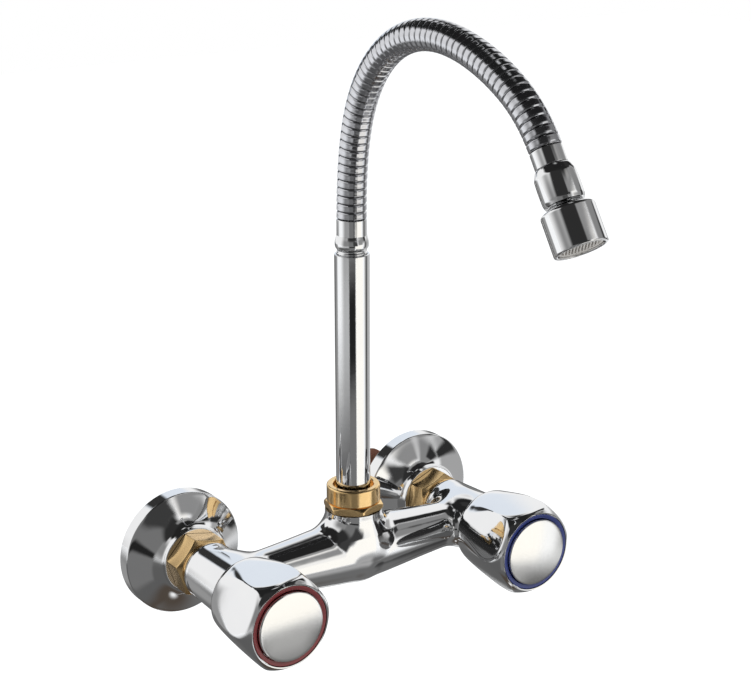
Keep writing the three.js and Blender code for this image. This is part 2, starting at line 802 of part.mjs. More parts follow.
function sleeve(index) {
  const bend = radians(restBends[index]);
  const isLast = index === restBends.length - 1;
  const low = index === 0 ? 0 : pivotGap(index) / 2;
  const high = stretchLength - (isLast ? 0 : pivotGap(index + 1) / 2);
  const ring = (along, radius) => ({ ...onArc(along, bend), radius });
  const pitch = (high - low) / ribsPerStretch;
  const rings = [ring(low, ribGrooveRadius)];
  for (let rib = 0; rib < ribsPerStretch; rib += 1) {
    rings.push(ring(low + (rib + 0.5) * pitch, ribCrestRadius));
    rings.push(ring(low + (rib + 1) * pitch, ribGrooveRadius));
  }
  if (!isLast) {
    // a ball-shaped neck about the next pivot, which that stretch swings on
    const end = onArc(stretchLength, bend);
    const neck = (past, radius) => ({
      y: end.y + past * Math.cos(end.tilt),
      z: end.z + past * Math.sin(end.tilt),
      tilt: end.tilt,
      radius,
    });
    const ball = (past) => Math.sqrt(neckRadius ** 2 - past ** 2);
    rings.push(neck(high - stretchLength, ball(high - stretchLength)));
    rings.push(neck(0.4, ball(0.4)), neck(neckReach, ball(neckReach)));
    rings.push(neck(neckReach, neckBore));
    rings.push(ring(high - 2.4, neckBore));
  } else {
    rings.push(ring(high, sleeveBore));
  }
  rings.push(ring(low + (high - low) * boreShare, sleeveBore), ring(low, sleeveBore));
  return loft(rings, ribSteps, true);
}

// the whole hose line from the ferrule to the head, as one unbroken tube
function waterHose() {
  const places = [];
  let [y, z, tilt] = [0, 0, 0];
  const place = (along, bend) => {
    const local = onArc(along, bend);
    return {
      y: y + local.y * Math.cos(tilt) - local.z * Math.sin(tilt),
      z: z + local.y * Math.sin(tilt) + local.z * Math.cos(tilt),
      tilt: tilt + local.tilt,
    };
  };
  for (const degrees of restBends) {
    const bend = radians(degrees);
    places.push(place(0, bend));
    ({ y, z, tilt } = place(stretchLength, bend));
  }
  const end = { y, z, tilt };
  places[0] = { y: gap - ferruleHeight - ferruleSpigot, z: 0, tilt: 0 };
  const outside = [...places, end].map((at) => ({ ...at, radius: waterHoseRadius }));
  const inside = [...places, end].map((at) => ({ ...at, radius: waterHoseBore })).reverse();
  return loft([...outside, ...inside], ribSteps, true);
}

// ---- head, in a frame with Y along it, away from the hose ----

const housingTop = hoseCollarLength + gap;
const housingBottom = housingTop + housingLength;
const ballCentre = housingBottom + ballFromHousing;
const nozzleEnd = ballCentre + nozzleBelowBall;
const seatOuter = ballRadius + gap + ballSeatThickness;
const polar = (radius, across) => THREE.MathUtils.radToDeg(Math.asin(across / radius));

function hoseCollar() {
  const spigotEnd = hoseCollarLength + collarSpigotLength;
  return revolve([
    [neckBore, gap],
    [hoseCollarRadius, gap],
    [hoseCollarRadius, hoseCollarLength],
    [collarSpigotRadius, hoseCollarLength],
    [collarSpigotRadius, spigotEnd],
    [headBore, spigotEnd],
    [headBore, spigotEnd - 2],
    [neckBore, spigotEnd - 3],
  ], middleSteps);
}

function housing() {
  const hollowRadius = nozzleDomeRadius + 1.5 * gap;
  const hollowAngle = 180 - THREE.MathUtils.radToDeg(Math.acos(ballFromHousing / hollowRadius));
  const stemAngle = 180 - polar(hollowRadius, stemRadius);
  const ballTop = 180 - polar(ballRadius, stemRadius);
  const boreTop = hoseCollarLength + collarSpigotLength + gap;
  return revolve([
    [collarSpigotRadius + gap, housingTop],
    [housingRadius - 1.4, housingTop],
    [housingRadius - 0.7, housingTop + 0.4 * housingShoulder],
    [housingRadius, housingTop + housingShoulder],
    [housingRadius, housingBottom - 2],
    [housingMouthRadius, housingBottom],
    ...arc(hollowRadius, ballCentre, hollowAngle, stemAngle, 2),
    ...arc(ballRadius, ballCentre, ballTop, polar(ballRadius, headBore), 7),
    [headBore, boreTop],
    [collarSpigotRadius + gap, boreTop],
  ], middleSteps);
}

function ballSeat() {
  const openAngle = 180 - polar(seatOuter, stemRadius) - nozzleTilt - 3;
  return revolve([
    ...arc(ballRadius + gap, ballCentre, 95, openAngle, 4),
    ...arc(seatOuter, ballCentre, openAngle, 95, 4),
  ], middleSteps);
}

const insertLow = nozzleEnd - 0.9 - insertThickness;
const gasketTop = insertLow - gap;

function nozzle() {
  const socket = seatOuter + gap;
  const socketOpen = 180 - polar(socket, stemRadius) - nozzleTilt - 2;
  const domeOpen = 180 - polar(nozzleDomeRadius, stemRadius) - nozzleTilt - 3;
  const domeEdge = 180 - polar(nozzleDomeRadius, housingMouthRadius);
  const pocket = ballCentre + 2;
  return revolve([
    ...arc(nozzleDomeRadius, ballCentre, domeOpen, domeEdge, 2),
    [nozzleRadius - 0.8, ballCentre - nozzleShoulder],
    [nozzleRadius, ballCentre - nozzleShoulder + 1],
    [nozzleRadius, nozzleEnd - 1],
    [nozzleRadius - 1, nozzleEnd],
    [mouthRadius, nozzleEnd],
    [mouthRadius, pocket],
    [socket, pocket],
    ...arc(socket, ballCentre, 88, socketOpen, 4),
  ], 20);
}

const nozzleGasket = () => tube(
  mouthRadius - gap, Math.sqrt(ballRadius ** 2 - 3.4 ** 2) + gap, ballCentre + 3.6, gasketTop, middleSteps,
);

function jetInsert() {
  const radius = mouthRadius - gap;
  const plate = insertLow + insertThickness - 1.2;
  const cup = revolve([
    [0, insertLow + 1.4],
    [radius - 1, insertLow + 1.4],
    [radius - 1, insertLow],
    [radius, insertLow],
    [radius, insertLow + insertThickness],
    [radius - 1, insertLow + insertThickness],
    [radius - 1, plate],
    [0, plate],
  ], largeSteps);
  const slots = Array.from({ length: insertSlots }, (_, i) => {
    const along = (i - (insertSlots - 1) / 2) * insertSlotPitch;
    const half = Math.sqrt((radius - 1.6) ** 2 - along ** 2);
    return new THREE.BoxGeometry(insertSlotWidth, insertThickness, 2 * half)
      .translate(along, insertLow + insertThickness / 2, 0);
  });
  return cut(cup, ...slots).rotateY(radians(insertTurn));
}

// ---- assembly ----

const faucet = new THREE.Group();

addMesh(faucet, 'faucet_body', body(), chrome);

// nutTurn is how far each union nut stands turned, as it stopped when it was tightened
const inlets = [
  { name: 'hot', side: -1, index: redPlastic, nutTurn: -12 },
  { name: 'cold', side: 1, index: bluePlastic, nutTurn: 22 },
];

for (const { name, side, index, nutTurn } of inlets) {
  const inlet = new THREE.Group();
  inlet.position.x = (side * inletSpacing) / 2;
  inlet.rotation.x = Math.PI;
  faucet.add(inlet);
  addMesh(inlet, `${name}_wall_flange`, wallFlange(), chrome);
  addMesh(inlet, `${name}_offset_connector`, offsetConnector(side), darkBrass);
  addMesh(inlet, `${name}_union_nut`, unionNut().rotateY(radians(nutTurn)), brass);
  addMesh(inlet, `${name}_union_washer`, unionWasher(), rubber);
  addMesh(inlet, `${name}_bonnet`, bonnet(), brass);
  addMesh(inlet, `${name}_bonnet_gasket`, bonnetGasket(), rubber);
  addMesh(inlet, `${name}_seat_seal`, seatSeal(), rubber);
  addMesh(inlet, `${name}_fixed_disc`, fixedDisc(), ceramic);
  addMesh(inlet, `${name}_moving_disc`, movingDisc(), ceramic);
  addMesh(inlet, `${name}_spindle`, spindle(), brass);
  addMesh(inlet, `${name}_handle`, knob(), chrome);
  addMesh(inlet, `${name}_handle_screw`, handleScrew(), steel);
  addMesh(inlet, `${name}_index_ring`, indexRing(), index);
  addMesh(inlet, `${name}_handle_cap`, handleCap(), satinChrome);
}

const spout = new THREE.Group();
spout.position.y = -wallToSpout;
spout.rotation.x = Math.PI / 2;
faucet.add(spout);
addMesh(spout, 'spout_nut', spoutNut(), brass);
addMesh(spout, 'riser_pipe', riser(), chrome);
addMesh(spout, 'riser_slip_ring', slipRing(), whitePlastic);
addMesh(spout, 'riser_lower_seal', sealRing(lowerSealHeight), rubber);
addMesh(spout, 'riser_upper_seal', sealRing(upperSealHeight), rubber);
addMesh(spout, 'hose_ferrule', ferrule(), chrome);
addMesh(spout, 'water_hose', waterHose(), whitePlastic).position.y = ferruleTop;

let stretch = new THREE.Group();
stretch.position.y = ferruleTop;
spout.add(stretch);
restBends.forEach((degrees, index) => {
  addMesh(stretch, `hose_sleeve_${String(index + 1).padStart(2, '0')}`, sleeve(index), steel);
  const end = onArc(stretchLength, radians(degrees));
  const next = new THREE.Group();
  next.position.set(0, end.y, end.z);
  next.rotation.x = end.tilt;
  stretch.add(next);
  stretch = next;
});

const head = stretch;
addMesh(head, 'hose_collar', hoseCollar(), chrome);
addMesh(head, 'swivel_housing', housing(), chrome);
addMesh(head, 'ball_seat', ballSeat(), whitePlastic);
addMesh(head, 'nozzle_shell', nozzle(), chrome);
addMesh(head, 'nozzle_gasket', nozzleGasket(), rubber);
addMesh(head, 'jet_insert', jetInsert(), whitePlastic);

export default faucet;
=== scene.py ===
import math

import bmesh
import bpy
import numpy as np
from mathutils import Matrix, Vector

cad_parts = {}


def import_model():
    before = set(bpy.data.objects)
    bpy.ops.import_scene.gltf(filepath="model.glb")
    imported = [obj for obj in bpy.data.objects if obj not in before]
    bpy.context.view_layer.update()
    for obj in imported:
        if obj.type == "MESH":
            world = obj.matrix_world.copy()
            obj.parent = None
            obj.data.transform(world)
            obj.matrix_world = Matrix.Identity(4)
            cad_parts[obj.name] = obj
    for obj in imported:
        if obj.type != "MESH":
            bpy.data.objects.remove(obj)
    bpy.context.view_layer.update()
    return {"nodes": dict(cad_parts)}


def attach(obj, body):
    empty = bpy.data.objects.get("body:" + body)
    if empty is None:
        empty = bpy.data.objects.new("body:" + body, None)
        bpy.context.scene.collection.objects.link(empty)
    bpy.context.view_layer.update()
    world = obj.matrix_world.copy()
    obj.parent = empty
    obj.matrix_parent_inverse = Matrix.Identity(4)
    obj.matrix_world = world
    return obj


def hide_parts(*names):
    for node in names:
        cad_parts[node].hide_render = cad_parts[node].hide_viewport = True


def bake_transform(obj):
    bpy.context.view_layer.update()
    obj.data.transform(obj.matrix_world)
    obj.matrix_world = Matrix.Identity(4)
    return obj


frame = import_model()

# Two handle kitchen faucet with a flexible ribbed spout. Sizes are in millimetres and the
# same as in the faucet's solids. X runs to the right, Y into the wall, Z up; the origin
# is on the wall plane, half way between the inlets.

MM = 0.001
GAP = 0.3
INLET_SPACING = 150
INLET = INLET_SPACING / 2
WALL_TO_SPOUT = 54.2
SIDES = {"hot": -1, "cold": 1}
FLAT_SHARE = math.cos(math.pi / 6)  # a hexagon's flat as a share of its corner

# wall flange and offset connector
FLANGE_RADIUS = 32.9
FLANGE_RIM = 7.2
FLANGE_DEPTH = 19.5
FLANGE_NECK = 17.5
FLANGE_WALL = 1.2
FLANGE_SWEEP = 1.7  # 1 is a cone; more curves the bell in
WALL_THREAD = 10.4
WALL_THREAD_REACH = 18
WALL_THREAD_SHIFT = 19.8
WALL_THREAD_TURN = 148
WALL_THREAD_PITCH = 1.814
WALL_THREAD_DEPTH = 0.9
UNION_THREAD = 13.2
UNION_THREAD_REACH = 4.5
CONNECTOR_BORE = 7

# union nut
NUT_FLAT = 14.5
NUT_LENGTH = 11.5
NUT_LIP = 2.6
NUT_TURN = {"hot": -12, "cold": 22}
TAIL_RADIUS = 11.8
NUT_REAR = FLANGE_DEPTH + GAP
NUT_FRONT = NUT_REAR + NUT_LENGTH

# body
COLLAR_REAR = FLANGE_DEPTH + UNION_THREAD_REACH + 1.8 + 2 * GAP
BARREL_REAR = NUT_FRONT + 2.6
BARREL_END = WALL_TO_SPOUT + 17.8
BARREL_REAR_RADIUS = 14.9
BARREL_FRONT_RADIUS = 16.3
CHAMBER_RADIUS = 11
BONNET_THREAD_BORE = 10.7
SEAT = BARREL_END - 27.8
BONNET_THREAD_REAR = BARREL_END - 14
ARM_END_RADIUS = 12.2
ARM_ROOT_RADIUS = 16
ARM_BORE = 6
BELLY_RADIUS = 17
NECK_RADIUS = 14.8
NECK_TOP = 23.5
SPOUT_SEAT = 5.8
SPOUT_BORE = 9.35
SPOUT_THREAD = 12
BELLY_FILLET = 1.5
NECK_FILLET = 8
BARREL_FILLET = 8

# handle, its index ring and cap
HANDLE_REAR = BARREL_END - 2
HANDLE_FACE = HANDLE_REAR + 42
HANDLE_REAR_RADIUS = 19.2
HANDLE_WIDEST = 26.2
FACET_REAR = 21.2
FACET_FRONT = 23.1
FACET_CROWN = 0.6
FACET_EDGE = 1.3
HANDLE_TURN = 6
SPINDLE_END = 93.2
SPLINE_REAR = 82.7
BONNET_HEX_REAR = 75
RECESS_FLOOR = SPINDLE_END + GAP + 3.4
RING_INNER = 18
RING_OUTER = 20.4
RING_THICKNESS = 3.6
RING_SETBACK = 0.2
CAP_STAND = 1.1
CAP_DOME = 1.5
CAP_WALL = 1.6

# spout nut, riser and ferrule
SEAL_SPACING = 3.3
SLIP_RING_LOW = SPOUT_SEAT + 3 * GAP + 2.5 * SEAL_SPACING
SLIP_RING_HEIGHT = 2.2
SPOUT_NUT_SEAT = NECK_TOP + GAP
SPOUT_NUT_THREAD_LOW = SLIP_RING_LOW + SLIP_RING_HEIGHT + GAP
SPOUT_NUT_FLANGE = 3.8
SPOUT_NUT_CORNER = 15.9
SPOUT_NUT_TURN = 15
SPOUT_NUT_COLLAR = 13.8
SPOUT_NUT_TOP = SPOUT_NUT_SEAT + SPOUT_NUT_FLANGE + 9.4
RISER_RADIUS = 8.8
RISER_BORE = 7.8
RISER_TAIL_BORE = 6.2
RISER_TOP = 159
FERRULE_TOP = RISER_TOP + 18
FERRULE_RADIUS = 7.55
FERRULE_BULGE = 8.5

# flexible spout
RIB_CREST = 7.5
RIB_GROOVE = 6.9
SLEEVE_BORE = 6.05
HOSE_RADIUS = 3.6
HOSE_BORE = 2.4
HOSE_TAIL = 27  # what hangs down into the riser
NECK_BORE = 4.3
STRETCH = 16
RIB_PITCH = 4
REST_BENDS = [3.4, 4.8, 7.9, 11.2, 13.7, 15.3, 15.3, 13.9, 11.6, 9.1, 7.3, 7.8, 12.7, 13.1]

# swivelling head
HOSE_COLLAR_RADIUS = 7.35
HOSE_COLLAR_LENGTH = 8
COLLAR_SPIGOT = 5.6
COLLAR_SPIGOT_END = 13.8
HOUSING_RADIUS = 9.3
HOUSING_MOUTH = 8.8
HOUSING_TOP = HOSE_COLLAR_LENGTH + GAP
HOUSING_BOTTOM = HOUSING_TOP + 16.2
BALL_CENTRE = HOUSING_BOTTOM + 11.3
BALL_RADIUS = 6.2
STEM_RADIUS = 3.6
HEAD_BORE = 2.2
NOZZLE_RADIUS = 12
NOZZLE_DOME = 13.2
NOZZLE_SHOULDER = 8.6
NOZZLE_TILT = 10
NOZZLE_END = BALL_CENTRE + 9.7
BALL_SEAT_OUTER = BALL_RADIUS + GAP + 0.8
MOUTH_RADIUS = 10.2
INSERT_THICKNESS = 3.4
INSERT_LOW = NOZZLE_END - 0.9 - INSERT_THICKNESS
INSERT_SLOTS = 12
INSERT_PITCH = 1.42
INSERT_SLOT_WIDTH = 0.8
INSERT_TURN = 34

# ---- places ----


def axis_frame(origin, side, along):
    """A frame whose Z runs along a piece's axis and whose X is the faucet's own X."""
    turn = Matrix(((1, 0, 0), side, along)).transposed()
    return Matrix.Translation(origin) @ turn.to_4x4()


def inlet_frame(side):
    return axis_frame((side * INLET, 0, 0), (0, 0, -1), (0, -1, 0))


SPOUT_FRAME = axis_frame((0, -WALL_TO_SPOUT, 0), (0, -1, 0), (0, 0, 1))
ARM_FRAME = Matrix.Translation((0, -WALL_TO_SPOUT, 0)) @ Matrix.Rotation(math.pi / 2, 4, "Y")


def hose_frame(along):
    """The frame at a distance along the flexible spout's centre line, from the ferrule's top."""
    forward, height, tilt = 0, FERRULE_TOP + min(along, 0), 0
    left = max(along, 0)
    for degrees in REST_BENDS:
        run = min(left, STRETCH)
        bend = math.radians(degrees) * run / STRETCH
        if run > 0:
            radius = run / bend
            rise, lean = radius * math.sin(bend), radius * (1 - math.cos(bend))
            height += rise * math.cos(tilt) - lean * math.sin(tilt)
            forward += rise * math.sin(tilt) + lean * math.cos(tilt)
        tilt += bend
        left -= run
    side = (0, -math.cos(tilt), -math.sin(tilt))
    return axis_frame((0, -WALL_TO_SPOUT - forward, height), side, (0, -math.sin(tilt), math.cos(tilt)))


HOSE_LENGTH = STRETCH * len(REST_BENDS)
HEAD_FRAME = hose_frame(HOSE_LENGTH)

# ---- shapes ----

FINE = 128  # points round a piece
ROUND_HOSE = 72
BORE_RINGS = 9  # along half a stretch before a pivot and half a stretch after it
ROUND_CASTING = 96
ROUND_ARM_BORE = 64


def ring(radius, height, steps, centre=(0, 0)):
    """One turn of points; radius is a number, or a function of the angle in radians."""
    if radius == 0:
        return [(*centre, height)]
    points = []
    for i in range(steps):
        angle = 2 * math.pi * i / steps
        reach = radius(angle) if callable(radius) else radius
        points.append((centre[0] + reach * math.sin(angle), centre[1] + reach * math.cos(angle), height))
    return points


def rounded(outline, steps=4):
    """An outline of (radius, height) points; a third number rounds that corner."""
    result = []
    count = len(outline)
    most = 0.48  # of a side that one rounding may take
    for i, point in enumerate(outline):
        corner = Vector(point[:2])
        if len(point) == 2:
            result.append(corner)
            continue
        before = Vector(outline[i - 1][:2]) - corner
        after = Vector(outline[(i + 1) % count][:2]) - corner
        reach = min(point[2], most * before.length, most * after.length)
        start = corner + before.normalized() * reach
        end = corner + after.normalized() * reach
        for step in range(steps + 1):
            share = step / steps
            near, far = start.lerp(corner, share), corner.lerp(end, share)
            result.append(near.lerp(far, share))
    return [(max(point[0], 0), point[1]) for point in result]


def eased(points, x):
    """The smooth curve y(x) through rising (x, y) points."""
    last = len(points) - 1
    i = max(0, min(last - 1, sum(1 for point in points if point[0] <= x) - 1))

    def slope(k):
        low, high = points[max(k - 1, 0)], points[min(k + 1, last)]
        return (high[1] - low[1]) / (high[0] - low[0])

    (x0, y0), (x1, y1) = points[i], points[i + 1]
    run = x1 - x0
    share = (x - x0) / run
    square, cube = share ** 2, share ** 3
    return (
        (2 * cube - 3 * square + 1) * y0
        + (cube - 2 * square + share) * run * slope(i)
        + (3 * square - 2 * cube) * y1
        + (cube - square) * run * slope(i + 1)
    )


def steady(low, high, count):
    return [low + (high - low) * i / (count - 1) for i in range(count)]


def curve(points, count):
    """Samples of eased() as (radius, height) points, from (height, radius) points."""
    heights = steady(points[0][0], points[-1][0], count)
    return [(eased(points, height), height) for height in heights]


def arc(radius, centre, start, end, count):
    """Points of an arc about the axis point at a height, by angles off the axis in degrees."""
    angles = [math.radians(degrees) for degrees in steady(start, end, count)]
    return [(radius * math.sin(a), centre + radius * math.cos(a)) for a in angles]


def polar(radius, across):
    return math.degrees(math.asin(across / radius))


def soft_least(first, second, blend):
    """The smaller of two numbers, rounded where they meet."""
    near = max(blend - abs(first - second), 0) / blend
    return min(first, second) - near * near * blend / 4


def six_flats(distance, turn, crown=0):
    """A hexagon's radius by angle; a crown makes each flat swell in its middle."""
    sector = math.pi / 3

    def radius(angle):
        off = (angle - math.radians(turn) + sector / 2) % sector - sector / 2
        return (distance - crown * (2 * off / sector) ** 2) / math.cos(off)

    return radius


def shape(rings, looped):
    """Points and faces of a skin over rings; a ring of one point closes an end."""
    points = [point for one in rings for point in one]
    starts = [sum(len(one) for one in rings[:i]) for i in range(len(rings))]
    faces = []
    for a in range(len(rings) if looped else len(rings) - 1):
        b = (a + 1) % len(rings)
        count = max(len(rings[a]), len(rings[b]))
        for i in range(count):
            j = (i + 1) % count
            four = ((a, i), (a, j), (b, j), (b, i))
            corners = [starts[one] + at % len(rings[one]) for one, at in four]
            faces.append(tuple(dict.fromkeys(corners)))
    return points, faces


def turned_shape(outline, steps):
    """An outline of (radius, height) points turned about the axis."""
    looped = outline[0][0] > 0
    return shape([ring(radius, height, steps) for radius, height in outline], looped)


def placed(name, data):
    made = bpy.data.objects.new(name, data)
    bpy.context.scene.collection.objects.link(made)
    return made


def mesh_object(name, shapes, place):
    """One mesh object in metres from shapes in millimetres, with its faces turned outwards."""
    mesh = bpy.data.meshes.new(name)
    points, faces = [], []
    for shape_points, shape_faces in shapes:
        first = len(points)
        points += [(place @ Vector(point)) * MM for point in shape_points]
        faces += [tuple(first + corner for corner in face) for face in shape_faces]
    mesh.from_pydata(points, [], faces)
    tidy_up = bmesh.new()
    tidy_up.from_mesh(mesh)
    bmesh.ops.recalc_face_normals(tidy_up, faces=tidy_up.faces)
    tidy_up.to_mesh(mesh)
    tidy_up.free()
    return placed(name, mesh)


def smooth(made, crease=32):
    """Smooth shading that stops at edges sharper than the crease, in degrees."""
    made.data.shade_smooth()
    made.data.set_sharp_from_angle(angle=math.radians(crease))
    weights = made.modifiers.new("even_shading", "WEIGHTED_NORMAL")
    weights.keep_sharp = True
    weights.weight = 80
    return made


def paint(made, finish):
    made.data.materials.clear()
    made.data.materials.append(finish)


def dress(made, finish):
    paint(made, finish)
    return made


def settle(made):
    """Applies an object's modifiers to its mesh."""
    bpy.context.view_layer.update()
    done = made.evaluated_get(bpy.context.evaluated_depsgraph_get())
    made.data = bpy.data.meshes.new_from_object(done)
    made.modifiers.clear()


def piece(name, shapes, place, finish, slot, body, replaced):
    """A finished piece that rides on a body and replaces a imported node."""
    made = dress(smooth(mesh_object(name, shapes, place)), finish)
    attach(made, body)
    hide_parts(replaced)


def turned_piece(name, outline, *rest):
    """A piece turned from an outline of (radius, height) points."""
    piece(name, [turned_shape(outline, FINE)], *rest)


# ---- finishes ----


class Signal:
    """What a socket gives, written in sums like a number."""

    def __init__(self, nodes, socket):
        self.nodes = nodes
        self.socket = socket

    def math(self, operation, first, second):
        return self.nodes.node("ShaderNodeMath", {"operation": operation}, {0: first, 1: second})

    def __add__(self, other):
        return self.math("ADD", self, other)

    def __radd__(self, other):
        return self.math("ADD", other, self)

    def __sub__(self, other):
        return self.math("SUBTRACT", self, other)

    def __rsub__(self, other):
        return self.math("SUBTRACT", other, self)

    def __mul__(self, other):
        return self.math("MULTIPLY", self, other)

    def __rmul__(self, other):
        return self.math("MULTIPLY", other, self)

    def __pow__(self, other):
        return self.math("POWER", self, other)

    def or_if(self, other):
        return self.math("MAXIMUM", self, other)


class Nodes:
    """The nodes of a material or of the world."""

    def __init__(self, tree, output):
        self.tree = tree
        self.surface = tree.nodes[output].inputs["Surface"]

    def feed(self, socket, value):
        if isinstance(value, Signal):
            self.tree.links.new(value.socket, socket)
        else:
            socket.default_value = value

    def node(self, kind, settings=None, sockets=None, out=0):
        """Adds a node: its settings first, then the values or links of its sockets."""
        made = self.tree.nodes.new(kind)
        for key, value in (settings or {}).items():
            setattr(made, key, value)
        for key, value in (sockets or {}).items():
            self.feed(made.inputs[key], value)
        return Signal(self, made.outputs[out])

    def show_between(self, share, first, second):
        """Shows one shader where the share is 0 and another where it is 1."""
        shaders = self.node("ShaderNodeMixShader", {}, {0: share, 1: first, 2: second})
        self.feed(self.surface, shaders)


class Finish(Nodes):
    """A material built from nodes around one shader."""

    def __init__(self, name, **constants):
        self.material = bpy.data.materials.new(name)
        self.material.use_nodes = True
        super().__init__(self.material.node_tree, "Material Output")
        self.shader = self.tree.nodes["Principled BSDF"]
        self.show(**constants)

    def show(self, **signals):
        for socket, signal in signals.items():
            self.feed(self.shader.inputs[socket.replace("_", " ")], signal)
        return self.material

    def place(self):
        return self.node("ShaderNodeTexCoord", out="Object")

    def noise(self, scale, detail=3, roughness=0.55, place=None):
        sockets = {
            "Vector": place or self.place(), "Scale": scale, "Detail": detail, "Roughness": roughness,
        }
        return self.node("ShaderNodeTexNoise", {}, sockets)

    def streaks(self, density, detail):
        """Noise that is drawn out by a different amount along each axis."""
        place = self.node("ShaderNodeMapping", {}, {"Vector": self.place(), "Scale": density})
        return self.noise(1, detail, place=place)

    def band(self, value, low, high):
        """A smooth step from 0 at low to 1 at high."""
        sockets = {"Value": value, "From Min": low, "From Max": high}
        return self.node("ShaderNodeMapRange", {"interpolation_type": "SMOOTHSTEP"}, sockets)

    def mix(self, share, first, second):
        sockets = {0: share, 6: first, 7: second}
        return self.node("ShaderNodeMix", {"data_type": "RGBA"}, sockets, out=2)

    def bump(self, height, distance):
        self.show(Normal=self.node("ShaderNodeBump", {}, {"Height": height, "Distance": distance}))


def colour(red, green, blue):
    return (red, green, blue, 1)


def grey(level):
    return colour(level, level, level)


def edge_wear(finish):
    """Where a surface turns sharply outwards, from the shape itself."""
    pointed = finish.node("ShaderNodeNewGeometry", out="Pointiness")
    return finish.band(pointed, 0.53, 0.62)


def polished_chrome():
    """Mirror plating over polished brass, with a faint haze and wipe marks."""
    finish = Finish("polished_chrome", Metallic=1)
    haze = finish.noise(45, 4)
    wipes = finish.streaks((260, 900, 260), 5)
    tint = finish.mix(haze, colour(0.80, 0.805, 0.82), colour(0.87, 0.87, 0.865))
    finish.bump(finish.noise(120, 2), 0.00002)
    return finish.show(Base_Color=tint, Roughness=0.025 + haze ** 2 * 0.07 + wipes ** 4 * 0.06)


def satin_cap():
    """The silvered cap: brighter and softer than the handle round it."""
    finish = Finish("satin_cap", Metallic=1)
    haze = finish.noise(70, 4)
    grain = finish.noise(1400, 2)
    tint = finish.mix(haze, colour(0.84, 0.835, 0.82), colour(0.90, 0.895, 0.88))
    finish.bump(grain, 0.000004)
    return finish.show(Base_Color=tint, Roughness=0.10 + haze * 0.08 + grain * 0.03)


def machined_brass():
    """Bare brass with turning marks and a little tarnish."""
    finish = Finish("machined_brass", Metallic=1)
    tarnish = finish.band(finish.noise(60, 4, roughness=0.6), 0.45, 0.8)
    marks = finish.streaks((250, 5000, 5000), 3)
    clean = finish.mix(marks, colour(0.90, 0.61, 0.28), colour(0.93, 0.66, 0.33))
    tint = finish.mix(tarnish * 0.25, clean, colour(0.70, 0.44, 0.19))
    finish.bump(marks, 0.000002)
    return finish.show(Base_Color=tint, Roughness=0.17 + tarnish * 0.10 + marks * 0.04)


def cast_brass():
    """The offset connector's raw casting, dull red-brown where it has oxidised; both its red-browns are also
    darkened with painted shade.
    """
    finish = Finish("cast_brass")
    stain = finish.band(finish.noise(110, 6, roughness=0.7), 0.35, 0.7)
    pores = finish.noise(1500, 3)
    # painted shade: both red-browns are kept dark, as the brass looks in the shade behind the flange
    tint = finish.mix(stain, colour(0.30, 0.14, 0.09), colour(0.17, 0.065, 0.05))
    tint = finish.mix(edge_wear(finish), tint, colour(0.52, 0.30, 0.16))
    finish.bump(pores, 0.00005)
    return finish.show(Base_Color=tint, Metallic=0.9 - stain * 0.4, Roughness=0.38 + stain * 0.25)


# the mark that sets painted shade in the sleeve's groove floors and bore
GROOVE_SHADE_MARK = "groove"


def sleeve_steel():
    """Wound strip of polished steel; its grain runs round the hose and painted shade lies dark in the
    grooves.
    """
    finish = Finish("sleeve_steel", Metallic=1)
    grain = finish.streaks((300, 2600, 2600), 4)
    patches = finish.noise(60, 4)
    groove = finish.node("ShaderNodeAttribute", {"attribute_name": GROOVE_SHADE_MARK}, out="Fac")
    tint = finish.mix(patches, colour(0.57, 0.575, 0.60), colour(0.69, 0.695, 0.725))
    # painted shade: near black wherever the groove mark is set
    tint = finish.mix(groove * 0.93, tint, colour(0.02, 0.02, 0.022))
    finish.bump(grain, 0.000008)
    return finish.show(Base_Color=tint, Roughness=0.07 + patches * 0.07 + grain * 0.05)


def screw_steel():
    """Zinc-plated screw steel with rolling marks."""
    finish = Finish("screw_steel", Metallic=1)
    marks = finish.noise(700, 4)
    tint = finish.mix(marks, colour(0.50, 0.50, 0.50), colour(0.66, 0.66, 0.63))
    finish.bump(marks, 0.00002)
    return finish.show(Base_Color=tint, Roughness=0.28 + marks * 0.16)


def black_rubber():
    """Moulded rubber with a dusty bloom."""
    finish = Finish("black_rubber")
    bloom = finish.noise(240, 5)
    pores = finish.noise(2600, 2)
    tint = finish.mix(bloom, colour(0.014, 0.014, 0.015), colour(0.05, 0.05, 0.05))
    finish.bump(pores, 0.00003)
    return finish.show(Base_Color=tint, Roughness=0.62 + bloom * 0.2)


def lapped_ceramic():
    """Fired alumina with lapping marks on its faces."""
    finish = Finish("lapped_ceramic")
    cloud = finish.noise(180, 5)
    lapping = finish.streaks((2400, 2400, 160), 4)
    tint = finish.mix(cloud, colour(0.80, 0.77, 0.70), colour(0.88, 0.86, 0.81))
    finish.bump(lapping, 0.000006)
    return finish.show(Base_Color=tint, Roughness=0.22 + lapping * 0.18)


def moulded_plastic(name, low, high, sheen):
    """Moulded plastic between two near colours, with flow marks and a fine grain."""
    finish = Finish(name)
    flow = finish.streaks((90, 260, 260), 4)
    grain = finish.noise(900, 3)
    finish.bump(grain, 0.000012)
    return finish.show(Base_Color=finish.mix(flow, low, high), Roughness=sheen + grain * 0.14)


